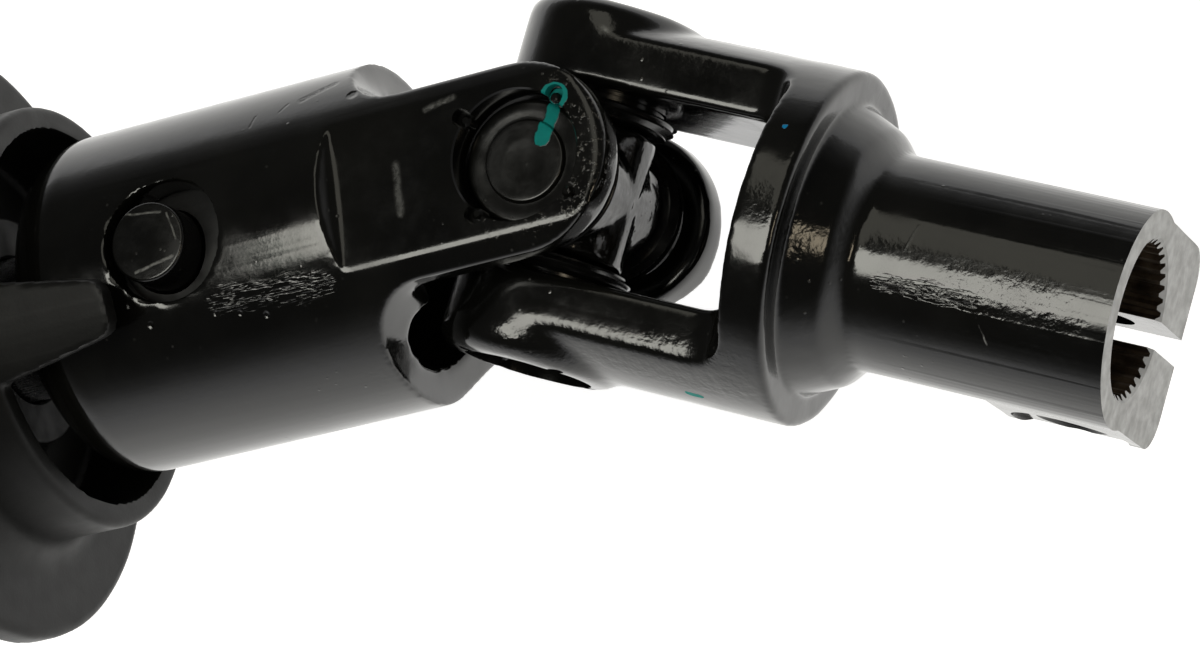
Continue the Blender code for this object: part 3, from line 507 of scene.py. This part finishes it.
PALE = (0.040, 0.040, 0.036)
TUBE_PAINT = paint(
    "tube_gloss_black",
    turn=None,
    wrinkle=(((46.5, -9.2, 20.3), (60.5, -10.3, 19.7)), 2.4, 0.035, (0.15, 1.0, 1.0)),
    scars=(
        ((72.0, 2.4, 20.2), (71.9, -3.8, 20.2), 0.8, PALE, 0.02),
        ((76.8, 8.3, 20.2), (80.6, 9.1, 20.2), 0.6, (0.06, 0.06, 0.055), 0.03),
        ((58.8, 15.1, 16.3), (62.7, 16.7, 14.7), 0.9, (0.02, 0.02, 0.02), -0.09),
        ((56.0, 13.9, 17.2), (56.9, 15.0, 16.3), 0.35, (0.01, 0.01, 0.01), -0.05),
        ((52.2, 12.7, 18.2), (52.6, 14.2, 17.0), 0.3, (0.01, 0.01, 0.01), -0.04),
    ),
    dusty=(((97.0, -5.5, 20.2), (96.5, 6.0, 20.2), 5.5), ((84.0, -9.0, 20.2), (93.0, -8.0, 20.2), 2.6)),
    crumbs=(
        ((45.0, -7.6, 20.9), (62.0, -8.4, 20.6), 3.2, 0.010),
        ((62.0, -19.0, 9.0), (66.0, -18.0, 10.0), 3.0, 0.03),
    ),
    pits=(
        ((34.6, -7.2, 21.0), 0.7, 0.10),
        ((45.4, -10.4, 19.7), 0.5, 0.10),
        ((48.6, -11.0, 19.3), 0.5, 0.10),
        ((51.9, -11.9, 18.8), 0.6, 0.12),
        ((36.5, -9.9, 19.9), 0.6, 0.10),
        ((66.2, 13.7, 17.5), 1.0, 0.12),
    ),
    spots=(
        ("ring", [((93.6, 5.9, 20.0), (93.6, 5.9, 20.0))], (1.45, 0.42), TEAL),
        ("fill", [((92.3, 5.6, 18.5), (90.2, 2.3, 17.0))], 1.1, TEAL),
        ("fill", [((62.8, 4.9, 21.6), (62.8, 4.9, 21.6))], 0.3, TEAL),
    ),
)
CUP_PAINT = paint(
    "cup_gloss_black",
    orange=0.014,
    fine=0.004,
    rough=0.2,
    spots=(("fill", [((92.3, 6.2, 17.0), (90.2, 2.2, 17.0))], 1.1, TEAL),),
)
CLAMP_PAINT = paint(
    "clamp_gloss_black",
    turn=Matrix.Rotation(JOINT_BEND, 4, "Z"),
    orange=0.024,
    fine=0.005,
    wrinkle=(((128, -23.5, 10.8), (138, -28.0, 10.3)), 1.6, 0.05, (0.2, 1.0, 1.0)),
    crumbs=(
        ((136.0, -27.4, 10.4), (148.0, -33.2, 9.8), 5.0, 0.075),
        ((118.0, -15.0, 14.0), (146.0, -28.0, 13.0), 5.0, 0.030),
        ((118.0, -13.0, 18.3), (118.5, -17.5, 16.5), 4.0, 0.06),
        ((80.0, -22.0, 11.0), (106.0, -30.0, 9.0), 6.0, 0.085),
        ((96.0, 16.0, 11.5), (112.0, 8.5, 11.5), 4.0, 0.03),
    ),
    scars=(
        ((131.4, -20.3, 11.0), (133.4, -17.7, 10.5), 0.3, PALE, 0.02),
        ((138.0, -27.4, 10.0), (138.5, -33.2, 7.3), 0.16, (0.2, 0.2, 0.19), 0.01),
        ((96.0, 17.5, 10.7), (98.5, 15.5, 11.8), 0.5, (0.12, 0.12, 0.11), 0.03),
    ),
    spots=(
        ("fill", [((121.2, -4.1, 17.9), (121.2, -4.1, 17.9))], 0.36, BLUE),
        ("fill", [((99.6, -29.4, 3.4), (100.8, -30.2, 3.2))], 0.6, (0.02, 0.30, 0.26)),
    ),
)
CROSS_PAINT = paint("cross_gloss_black", orange=0.11, fine=0.004)
PAINT = paint("gloss_black")
BARE = steel("end_face_steel", (0.33, 0.33, 0.32), rough=0.5, metallic=0.6, stretch=(1, 1, 1), stain=0.04)
CLAMP_TURN = CLAMP.to_3x3().to_4x4()
TEETH_STEEL = steel("serration_steel", (0.20, 0.16, 0.12), rough=0.42, turn=CLAMP_TURN, stain=0.5)
PIN_STEEL = paint(
    "pin_steel",
    orange=0.03,
    rough=0.22,
    scars=(
        ((35.2, 4.2, 22.1), (40.6, 3.4, 22.1), 0.25, (0.10, 0.10, 0.09), 0.02),
        ((36.4, -3.6, 22.1), (41.6, -2.6, 22.1), 0.3, (0.12, 0.12, 0.11), 0.02),
        ((42.4, -0.5, 22.1), (41.4, 3.0, 22.1), 0.2, (0.09, 0.09, 0.08), 0.02),
    ),
)
# Painted shade: the stop hole's wall gets a near-black, dull material that stands in for the shade inside the
# hole.
HOLE_PAINTED_SHADE = rubber("hole_painted_shade", (0.0015, 0.0015, 0.0015), (0.004, 0.004, 0.004), rough=0.55)
SHAFT_STEEL = steel("shaft_steel", (0.50, 0.50, 0.51), rough=0.26, stain=0.2)
SLEEVE_PAINT = paint("sleeve_black", orange=0.008, rough=0.24)
SEAL_RUBBER = rubber(
    "dash_seal_rubber", (0.0035, 0.0035, 0.0032), (0.0085, 0.0085, 0.0075), 0.44, shine=0.16, uneven=0.07
)
BOOT = rubber("bearing_seal_rubber", (0.004, 0.004, 0.004), (0.012, 0.012, 0.011), rough=0.24, grit=0.008)
ISOLATOR_RUBBER = rubber("isolator_rubber", (0.004, 0.004, 0.004), (0.010, 0.010, 0.010), rough=0.7)
NYLON = rubber("bush_nylon", (0.004, 0.004, 0.004), (0.009, 0.009, 0.008), rough=0.5, grit=0.004, shine=0.2)


# Pieces


def ear_cutter(crotch, fillet):
    half, far, wide = EAR_HALF, 90.0, 45.0
    upper = [(-crotch, wide)] + arc((fillet - crotch, half + fillet), fillet, 180, 270)
    tip = arc((0, 0), half, 90, -90, 64)
    lower = arc((fillet - crotch, -half - fillet), fillet, 90, 180) + [(-crotch, -wide)]
    return upper + tip + lower + [(far, -wide), (far, wide)]


def stakes(obj, face, along, size=1.2):
    """Punched keyholes at the bearing hole's edge, each with its tongue of metal over the cup."""
    for side in ("", "-"):
        for quarter in range(4):
            angle = radians(45 + 90 * quarter)
            for ring, radius, top, low, operation in (
                (EAR_HOLE + size * 0.5, size, face + 5, face - 1.5, cut),
                (EAR_HOLE + size * 0.2, size * 0.6, face - 0.7, CUP_FACE + 0.35, join),
            ):
                u, v = ring * cos(angle), ring * sin(angle)
                at = {"Z": (u, v, 0), "Y": (u, 0, v)}[along]
                outline = [(low, 0), (low, radius), (top - 0.3, radius), (top, radius - 0.3), (top, 0)]
                operation(obj, lathe("stake", outline, side + along, at, 24))


def make_tube_yoke():
    end = -TUBE_REACH
    inner_fillet = DOME_FILLET - 5.0
    outline = [(17.0, EAR_INNER), (17.0, TUBE_RADIUS)]
    outline += arc((end + DOME_FILLET, TUBE_RADIUS - DOME_FILLET), DOME_FILLET, 90, 180, 24)
    outline += [(end, DOME_MOUTH), (end + 5.0, DOME_MOUTH)]
    outline += arc((end + DOME_FILLET, TUBE_BORE - inner_fillet), inner_fillet, 180, 90)
    outline += [(-TUBE_CROTCH, TUBE_BORE), (EAR_ROOT - TUBE_CROTCH, EAR_INNER)]
    yoke = lathe("tube_yoke_look", spread(outline + outline[:1], 4)[:-1], closed=True)
    cut(yoke, prism("slots", ear_cutter(TUBE_CROTCH, CROTCH_R), -90, 90))
    low = (EAR_ROOT - TUBE_CROTCH, -EAR_HALF - GAP, -EAR_INNER)
    cut(yoke, block("between", low, (40, EAR_HALF + GAP, EAR_INNER)))
    for side in (1, -1):
        wall = [(-EAR_FLAT_LENGTH, side * EAR_FLAT), (60, side * EAR_FLAT), (60, side * 50), (-30, side * 50)]
        wall.append((-EAR_FLAT_LENGTH - 1.7, side * (TUBE_RADIUS + 0.3)))
        cut(yoke, prism("flat", wall, -30, 30, ACROSS_Y))
    mouth = sqrt(TUBE_RADIUS**2 - STOP_HOLE**2)
    for side in ("Z", "-Z"):
        hole = [(40, 0), (40, STOP_HOLE + 0.25), (mouth, STOP_HOLE + 0.25)]
        hole += [(mouth - 0.6, STOP_HOLE), (0, STOP_HOLE), (0, 0)]
        cut(yoke, lathe("hole", hole, side, (-STOP_AT, 0, 0), 120))
    crease = sqrt(TUBE_RADIUS**2 - EAR_FLAT**2)

    def by_crease(co):
        off = np.hypot(np.abs(co[:, 1]) - crease, np.abs(co[:, 2]) - EAR_FLAT)
        return np.clip(1.6 - off / 1.5, 0, 1) * np.clip((co[:, 0] + EAR_FLAT_LENGTH + 0.5) / 2, 0, 1)

    def by_crotch(co):
        radius = np.hypot(co[:, 1], co[:, 2])
        inward = np.clip((TUBE_RADIUS - 0.6 - radius) / 1.5, 0, 1)
        return inward * np.clip((co[:, 0] + TUBE_CROTCH + 4.5) / 2, 0, 1)

    soften(yoke, 0.4, 5, 0.35, [(4, by_crease), (60, by_crotch)])
    undulate(yoke, ((7.0, 0.05), (2.6, 0.014)), 3.0)
    dent(
        yoke,
        [((27.0 - 5.5, 14.5, 16.6), 3.2, 0.35), ((-25.5, -0.5, 21.0), 5.0, 0.05)],
    )
    half = [(40, 0), (40, EAR_HOLE + 0.4), (EAR_FLAT, EAR_HOLE + 0.25), (EAR_FLAT - 0.3, EAR_HOLE)]
    cut(yoke, lathe("ear_hole", half + [(-x, r) for x, r in reversed(half)], "Z", steps=120))
    stakes(yoke, EAR_FLAT, "Z")

    # The stop hole's wall faces take the painted-shade material, so the hole reads as shaded.
    def where(centre, facing):
        radius = np.hypot(centre[:, 0] + STOP_AT, centre[:, 1])
        sideways = np.abs(facing[:, 2]) < 0.5
        return (radius < STOP_HOLE + 0.05) & sideways & (np.abs(centre[:, 2]) > SHAFT_RADIUS)

    materials = [TUBE_PAINT, HOLE_PAINTED_SHADE]
    present(yoke, "tube_yoke_look", "tube_yoke", "housing", materials, where, JOINT)


def clamp_features(obj, end, depth):
    """The machined clamp: end face, serrated bore, slot, lugs' bolt hole."""
    far = end + 10
    cut(obj, block("end", (end, -60, -60), (far, 60, 60)))
    points = []
    for tooth in range(TEETH):
        for share, radius in ((-0.14, TIP), (0.14, TIP), (0.36, ROOT), (0.64, ROOT)):
            angle = 2 * pi * (tooth + share) / TEETH
            points.append((radius * cos(angle), radius * sin(angle)))
    cut(obj, prism("bore", points, end - depth, far, ACROSS_X))
    cut(obj, block("slot", (end - SLOT_LENGTH, -SLOT / 2, -60), (far, SLOT / 2, 0)))
    chamfer = [(end + 1, 0), (end + 1, ROOT + 1.55), (end - 1.4, TIP - 0.9), (end - 1.4, 0)]
    cut(obj, lathe("chamfer", chamfer, steps=120))
    seat = LUG_WIDTH / 2 - SPOT_DEPTH
    side = [(60, 0), (60, SPOT_RADIUS), (seat, SPOT_RADIUS)]
    side += [(seat, BOLT_RADIUS + 0.4), (seat - 0.4, BOLT_RADIUS)]
    at = (end - LUG_LENGTH / 2, 0, -BOLT_OFFSET)
    cut(obj, lathe("bolt", side + [(-x, r) for x, r in reversed(side)], "Y", at, 96))


def lug_block(end):
    half, r = LUG_WIDTH / 2, 4.5
    outline = arc((half - r, r - LUG_REACH), r, -90, 0) + [(half, 0), (-half, 0)]
    outline += arc((r - half, r - LUG_REACH), r, 180, 270)
    return prism("lugs", outline, end - LUG_LENGTH, end + 6, ACROSS_X)


def clamp_faces(end):
    def where(centre, facing):
        radius = np.hypot(centre[:, 1], centre[:, 2])
        inward = (centre[:, 1] * facing[:, 1] + centre[:, 2] * facing[:, 2]) < -0.3 * radius
        index = np.zeros(len(centre), dtype=int)
        index[(centre[:, 0] > end - 0.02) & (facing[:, 0] > 0.9)] = 1
        index[(centre[:, 0] > end - 1.5) & (facing[:, 0] > 0.4) & (radius < ROOT + 0.7)] = 1
        index[(radius < ROOT + 0.05) & inward & (centre[:, 0] > COLLAR_START - 2) & (index == 0)] = 2
        return index
    return where


def make_clamp_yoke():
    foot = COLLAR_END + 4.9
    neck = [(foot + 2.9, HUB_RADIUS), (foot + 1.9, HUB_RADIUS + 0.12), (foot + 1.2, HUB_RADIUS + 0.75)]
    neck += [(foot, NECK_RADIUS - 2.6), (foot - 0.5, NECK_RADIUS - 2.15), (COLLAR_END, NECK_RADIUS)]
    edge = arc((COLLAR_END - 0.9, FORGING - 0.9), 0.9, 0, 90)
    outline = [(HUB_END + 5, 0), (HUB_END + 5, HUB_RADIUS)] + neck + edge + [(-17, FORGING), (-17, 0)]
    yoke = lathe("clamp_yoke_look", spread(outline, 4))
    turn = Matrix.Rotation(pi, 4, "Z") @ Matrix.Rotation(pi / 2, 4, "X")
    cut(yoke, prism("beside", ear_cutter(COLLAR_START, CLAMP_CROTCH_R), -90, 90, turn))
    corner, side = COLLAR_START - CLAMP_CROTCH_R, ARM_INNER - CLAMP_CROTCH_R
    window = [(-40, -ARM_INNER)] + arc((corner, -side), CLAMP_CROTCH_R, -90, 0)
    window += arc((corner, side), CLAMP_CROTCH_R, 0, 90) + [(-40, ARM_INNER)]
    cut(yoke, prism("window", window, -90, 90))
    join(yoke, lug_block(HUB_END))
    for along in ("Y", "-Y"):
        boss = [(ARM_INNER + 1, 0), (ARM_INNER + 1, EAR_HALF)] + [(FORGING - 2.1, EAR_HALF)]
        boss += arc((FORGING - 2.1, EAR_HALF - 3.0), 3.0, 90, 0)[1:] + [(FORGING + 0.9, 0)]
        join(yoke, lathe("boss", boss, along))

    def arms(co):
        return np.clip((COLLAR_START + 1.0 - co[:, 0]) / 4.0, 0, 1)

    soften(yoke, 0.4, 5, 0.4, [(40, arms)])
    undulate(yoke, ((6.0, 0.07), (2.2, 0.02)), 11.0)
    clamp_features(yoke, HUB_END, 60)
    cut(yoke, lathe("ear_hole", [(60, 0), (60, EAR_HOLE), (-60, EAR_HOLE), (-60, 0)], "Y", steps=120))
    stakes(yoke, FORGING + 0.5, "Y", 1.0)
    materials = [CLAMP_PAINT, BARE, TEETH_STEEL]
    faces = clamp_faces(HUB_END)
    present(yoke, "clamp_yoke_look", "clamp_yoke", "clamp", materials, faces, CLAMP)


def make_cross():
    shaft = [(TRUNNION_END, 0), (TRUNNION_END, 4.5), (TRUNNION_END - 0.5, 5.0), (CROSS_REACH, 5.0)]
    shaft += [(CROSS_REACH, 7.85), (CROSS_REACH - 0.5, 8.2)]
    outline = spread(shaft + [(-x, r) for x, r in reversed(shaft)], 2)
    cross = lathe("cross_look", outline, "Z", steps=120)
    join(cross, lathe("second", outline, "Y", steps=120))
    soften(cross, 0.3, 14, 0.6)
    undulate(cross, ((3.6, 0.30), (1.4, 0.06)), 21.0)
    present(cross, "cross_look", "cross", "cross", [CROSS_PAINT], matrix=CROSS)


def make_bearings():
    dish = CUP_FACE - 0.6
    cup = [(CUP_FACE - 0.06, 0), (CUP_FACE - 0.06, 2.2), (CUP_FACE - 0.02, 2.5)]
    cup += [(CUP_FACE - 0.02, 3.0), (CUP_FACE, 4.4)] + arc((CUP_FACE - 0.25, 4.9), 0.25, 0, 90, 5)
    cup += [(dish + 0.02, 5.3), (dish, 5.7)]
    cup += [(dish + 0.12, 6.2), (dish + 0.1, 6.9)] + arc((dish - 0.5, CUP_RADIUS - 0.6), 0.6, 0, 90, 6)
    cup += [(CUP_MOUTH, CUP_RADIUS), (CUP_MOUTH, CUP_BORE), (CUP_FLOOR, CUP_BORE), (CUP_FLOOR, 0)]
    inside, crest = CUP_RADIUS + GAP, CUP_RADIUS + 2.0
    boot = [(SEAL_END, inside), (SEAL_END, crest - 1.0), (SEAL_END - 0.25, crest - 0.75)]
    boot += arc((SEAL_END - 0.55, crest - 0.3), 0.3, 60, -60, 6)
    boot += [(CUP_MOUTH + 0.42, crest - 0.7), (CUP_MOUTH + 0.2, crest - 0.35)]
    boot += [(CUP_MOUTH + 0.02, crest - 0.3), (CUP_MOUTH - 0.2, crest - 0.62)]
    boot += [(SEAL_START + 0.3, SEAL_START - 0.35), (SEAL_START + 0.1, SEAL_START - 0.3)]
    boot += [(SEAL_START, SEAL_START - 0.7), (SEAL_START, 5.3)]
    boot += [(SEAL_START + 0.6, 5.3), (SEAL_START + 0.6, inside)]
    for pair, matrix, body, axis in (("tube", JOINT, "housing", "Z"), ("clamp", CLAMP, "clamp", "Y")):
        for end, along in (("a", axis), ("b", "-" + axis)):
            one = lathe("cup", cup, along, steps=96)
            name = f"{pair}_cup_{end}"
            present(one, name + "_look", name, body, [CUP_PAINT], matrix=matrix)
            one = lathe("boot", boot, along, steps=96, closed=True)
            name = f"{pair}_seal_{end}"
            present(one, name + "_look", name, body, [BOOT], matrix=matrix, sharp=60)
            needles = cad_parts[f"{pair}_needles_{end}"]
            for index in range(len(needles.material_slots)):
                needles.material_slots[index].material = SHAFT_STEEL


def double_d(radius, flat, steps=48):
    half = asin(flat / radius) * 180 / pi
    return arc((0, 0), radius, -half, half, steps) + arc((0, 0), radius, 180 - half, 180 + half, steps)


def make_inside():
    at = 87.5 - PIN_AT
    half = [(TUBE_RADIUS - 0.15, 0), (TUBE_RADIUS - 0.1, 3.0)]
    half += arc((TUBE_RADIUS - 0.5, PIN_RADIUS - 0.5), 0.42, 0, 90, 6)
    half += [(TUBE_RADIUS - 1, PIN_RADIUS - 0.02)]
    pin = lathe("pin", half + [(-x, r) for x, r in reversed(half)], "Z", (at, 0, 0), 96)
    present(pin, "stop_pin_look", "stop_pin", "shaft", [PIN_STEEL])
    right, left = at + 13.55, at - 13.55
    outer, inner = TUBE_BORE - GAP, SHAFT_RADIUS + GAP
    bulges = [(1.2 * sin(pi * i / 10), (outer - inner) * i / 10) for i in range(1, 10)]
    ring = [(right, inner)] + [(right + out, inner + up) for out, up in bulges]
    ring += [(right, outer), (left, outer)]
    ring += [(left - out, outer - up) for out, up in bulges] + [(left, inner)]
    bush = lathe("isolator", ring, steps=120, closed=True)
    cut(bush, lathe("pin_hole", [(40, 0), (40, 5.45), (-40, 5.45), (-40, 0)], "Z", (at, 0, 0), 64))
    present(bush, "isolator_look", "isolator_bush", "shaft", [ISOLATOR_RUBBER])
    rod = [(SHAFT_RIGHT, 0), (SHAFT_RIGHT, 9.0), (SHAFT_RIGHT - 0.5, 9.5)]
    rod += [(SHAFT_LEFT + 0.5, 9.5), (SHAFT_LEFT, 9.0), (SHAFT_LEFT, 0)]
    shaft = lathe("shaft", spread(rod, 6), steps=144)
    cut(shaft, lathe("pin_hole", [(40, 0), (40, 5.45), (-40, 5.45), (-40, 0)], "Z", (at, 0, 0), 64))
    for side in (1, -1):
        low, high = sorted((side * SHAFT_FLAT, side * 40))
        cut(shaft, block("flat", (SHAFT_LEFT - 5, low, -40), (FLATS_END, high, 40)))
    present(shaft, "inner_shaft_look", "inner_shaft", "shaft", [SHAFT_STEEL])


def make_slide():
    sleeve = prism("sleeve", double_d(SLEEVE_RADIUS, SLEEVE_FLAT), SLEEVE_LEFT, SLEEVE_RIGHT, ACROSS_X)
    cut(sleeve, prism("bore", double_d(9.8, 7.4), SLEEVE_LEFT - 5, SLEEVE_RIGHT + 5, ACROSS_X))
    soften(sleeve, 0.6, 3, 0.3)
    undulate(sleeve, ((9.0, 0.03),), 31.0)
    present(sleeve, "slide_sleeve_look", "slide_sleeve", "sleeve", [SLEEVE_PAINT])
    rim = 14.2
    ring = [(-42.9, 0), (-42.9, rim - 0.3), (-42.6, rim)] + [(-42.2, rim), (-41.9, rim - 0.5), (-41.6, rim)]
    ring += [(-41.1, rim), (-40.8, rim - 0.5), (-40.5, rim), (-38.9, rim), (-36.9, 12.2), (-36.9, 0)]
    wiper = lathe("wiper", ring, steps=120)
    cut(wiper, prism("bore", double_d(9.8, 7.4), -60, -20, ACROSS_X))
    present(wiper, "slide_wiper_look", "slide_wiper", "sleeve", [BOOT], sharp=50)
    bead = arc((0, COUPLER_RADIUS - 2), 2, 90, 180)
    outline = [(COUPLER_LENGTH + 5, 0), (COUPLER_LENGTH + 5, HUB_RADIUS)]
    outline += [(21, HUB_RADIUS), (15, COUPLER_RADIUS)]
    outline += bead + [(-2, 0)]
    coupler = lathe("coupler", spread(outline, 4), steps=144)
    join(coupler, lug_block(COUPLER_LENGTH))
    soften(coupler, 0.45, 5, 0.4)
    undulate(coupler, ((6.0, 0.05), (2.2, 0.012)), 41.0)
    cut(coupler, prism("socket", double_d(13.3, 10.9), -10, SOCKET_DEPTH, ACROSS_X))
    clamp_features(coupler, COUPLER_LENGTH, COUPLER_LENGTH - SOCKET_DEPTH + GAP)
    materials = [PAINT, BARE, TEETH_STEEL]
    faces = clamp_faces(COUPLER_LENGTH)
    present(coupler, "coupler_look", "coupler", "sleeve", materials, faces, BACK)


def make_dash():
    edge = arc((FLANGE_T - 1.2, FLANGE - 1.2), 1.2, 90, 0, 8)
    fillet = arc((FLANGE_T + 4, NOSE + 4), 4, -90, -180, 14)
    lip = arc((NOSE_LENGTH - 1.1, NOSE - 1.1), 1.1, 0, 90, 8)
    front = 5.9
    outline = [(NOSE_LENGTH, NOSE_IN)] + lip + fillet + edge[::-1]
    outline += [(0, FLANGE), (0, GROOVE + 1.6), (1.6, GROOVE), (0, GROOVE - 1.6)]
    outline += [(0, NOSE_IN), (0.5, NOSE_IN - 3.5), (0.5, SEAL_HUB), (BUSH_BACK, SEAL_HUB)]
    outline += [(BUSH_BACK, HUB_BORE), (front, HUB_BORE), (front, SEAL_HUB)]
    outline += [(FLANGE_T, SEAL_HUB + 0.5), (FLANGE_T, NOSE_IN)]
    seal = lathe("seal", spread(outline + outline[:1], 4)[:-1], closed=True)
    root, tip = NOSE_LENGTH - 3.3, NOSE_LENGTH + 17.2
    inner = NOSE - 3.3 + GAP
    tongue = lathe("tongue", [(tip, inner), (tip, NOSE), (root, NOSE), (root, inner)], closed=True)
    r = 1.9
    outline = [(root - 5, -6.6), (NOSE_LENGTH, -6.6), (tip - r, -3.8)] + [(tip - 0.9, -3.3), (tip, -r)]
    outline += [(tip, r), (tip - 0.9, 3.3), (tip - r, 3.8), (NOSE_LENGTH, 6.6), (root - 5, 6.6)]
    wedge = prism("wedge", outline, 5, 60, Matrix.Rotation(radians(17.5), 4, "X"))
    other = prism("wedge", outline, -60, -5, Matrix.Rotation(radians(17.5), 4, "X"))
    second = mesh_object("tongue", [], [])
    second.data = tongue.data.copy()
    combine(tongue, "INTERSECT", wedge)
    combine(second, "INTERSECT", other)
    join(seal, tongue, second)
    soften(seal, 0.5, 4, 0.35)
    undulate(seal, ((9.0, 0.10), (3.0, 0.02)), 51.0)
    present(seal, "dash_seal_look", "dash_seal", "dash", [SEAL_RUBBER])
    lip = 15.2
    ring = [(BUSH_FRONT, BUSH_IN + 0.3), (BUSH_FRONT, lip - 0.4)]
    ring += arc((BUSH_FRONT - 0.4, lip - 0.4), 0.4, 0, 90, 5)
    ring += [(BUSH_FRONT - 1.8, lip), (BUSH_FRONT - 1.8, BUSH_OUT)]
    ring += [(BUSH_BACK, BUSH_OUT), (BUSH_BACK, BUSH_IN)]
    ring += [(BUSH_FRONT - 0.3, BUSH_IN)]
    bush = lathe("bush", ring, steps=120, closed=True)
    present(bush, "shaft_bush_look", "shaft_bush", "dash", [NYLON])


make_tube_yoke()
make_clamp_yoke()
make_cross()
make_bearings()
make_inside()
make_slide()
make_dash()
bpy.data.collections.remove(WORK)


# The photograph's view

camera_data = bpy.data.cameras.new("camera")
camera_data.sensor_fit = "HORIZONTAL"
camera_data.sensor_width = 36.0
camera_data.lens = 4222.1 / 1200 * 36.0
camera_data.clip_start, camera_data.clip_end = 0.01, 50
camera = bpy.data.objects.new("camera", camera_data)
SCENE.collection.objects.link(camera)
right, up, back = (0.91482, -0.12589, -0.38375), (0.21598, 0.95539, 0.20145), (0.34127, -0.26717, 0.90120)
pose = Matrix((right, up, back)).transposed().to_4x4()
pose.translation = (0.26598, -0.15690, 0.46992)
camera.matrix_world = pose
SCENE.camera = camera
SCENE.view_settings.view_transform = "Standard"


# Surroundings: white below, dark above, seen by glossy surfaces; even and soft for the rest

world = bpy.data.worlds.new("studio")
SCENE.world = world
world.use_nodes = True
tree = world.node_tree
tree.nodes.clear()
way = node(tree, "TexCoord").outputs["Generated"]
height = node(tree, "VectorMath", {0: way, 1: (0.0, 0.09, 1.0)}, operation="DOT_PRODUCT").outputs["Value"]
curve = node(tree, "ValToRGB", {"Fac": math(tree, "MULTIPLY", math(tree, "ADD", height, 1.0), 0.5)})
stops = ((0.0, 1.05), (0.40, 1.05), (0.50, 0.68), (0.575, 0.25), (0.65, 0.10), (0.72, 0.045), (1.0, 0.035))
elements = curve.color_ramp.elements
elements[0].position, elements[0].color = stops[0][0], (stops[0][1],) * 3 + (1,)
elements[1].position, elements[1].color = stops[-1][0], (stops[-1][1],) * 3 + (1,)
for position, value in stops[1:-1]:
    elements.new(position).color = (value, value, value, 1)
path = node(tree, "LightPath")
glossy = node(tree, "Background", {"Color": curve.outputs["Color"], "Strength": 1.0})
soft = node(tree, "Background", {"Color": (0.42, 0.42, 0.42, 1), "Strength": 1.0})
white = node(tree, "Background", {"Color": (1, 1, 1, 1), "Strength": 1.0})
first = node(tree, "MixShader", {0: path.outputs["Is Glossy Ray"], 1: soft.outputs[0], 2: glossy.outputs[0]})
seen = math(tree, "MAXIMUM", path.outputs["Is Camera Ray"], path.outputs["Is Transmission Ray"])
second = node(tree, "MixShader", {0: seen, 1: first.outputs[0], 2: white.outputs[0]})
node(tree, "OutputWorld", {"Surface": second.outputs[0]})


def softbox(name, centre, aim, width, depth, radiance, color):
    lamp = bpy.data.lights.new(name, "AREA")
    lamp.shape, lamp.size, lamp.size_y = "RECTANGLE", width, depth
    lamp.energy = pi * radiance * width * depth
    lamp.color = color
    obj = bpy.data.objects.new(name, lamp)
    SCENE.collection.objects.link(obj)
    z = (Vector(centre) - Vector(aim)).normalized()
    x = Vector((0, 1, 0)).cross(z).normalized()
    y = z.cross(x)
    turn = Matrix((x, y, z)).transposed().to_4x4()
    turn.translation = centre
    obj.matrix_world = turn


softbox("key", (-0.075, -0.078, 0.685), (0.1, -0.015, 0.01), 0.30, 0.29, 7.5, (1.0, 0.99, 0.90))
softbox("panel", (0.14, 0.33, 0.72), (0.1, -0.015, 0.01), 0.28, 0.52, 0.9, (1.0, 0.97, 0.83))
softbox("warm", (0.575, -0.26, 0.60), (0.12, -0.012, 0.016), 0.17, 0.20, 5.0, (1.0, 0.85, 0.62))

floor_mesh = bpy.data.meshes.new("floor")
floor_mesh.from_pydata([(-4, -4, 0), (4, -4, 0), (4, 4, 0), (-4, 4, 0)], [], [(0, 1, 2, 3)])
floor = bpy.data.objects.new("floor", floor_mesh)
floor.location = (0, 0, -0.12)
SCENE.collection.objects.link(floor)
material = bpy.data.materials.new("floor")
material.use_nodes = True
tree = material.node_tree
tree.nodes.clear()
place = node(tree, "TexCoord").outputs["Object"]
tone = mix(tree, grain(tree, place, 30.0, 4.0), (0.90, 0.90, 0.90), (0.92, 0.92, 0.92))
plain = node(tree, "BsdfDiffuse", {"Color": tone})
glow = node(tree, "Emission", {"Color": (1, 1, 1, 1), "Strength": 0.62})
both = node(tree, "AddShader", {0: plain.outputs[0], 1: glow.outputs[0]})
path = node(tree, "LightPath")
seen = math(tree, "MAXIMUM", path.outputs["Is Camera Ray"], path.outputs["Is Glossy Ray"])
last = node(tree, "MixShader", {0: seen, 1: plain.outputs[0], 2: both.outputs[0]})
node(tree, "OutputMaterial", {"Surface": last.outputs[0]})
floor_mesh.materials.append(material)
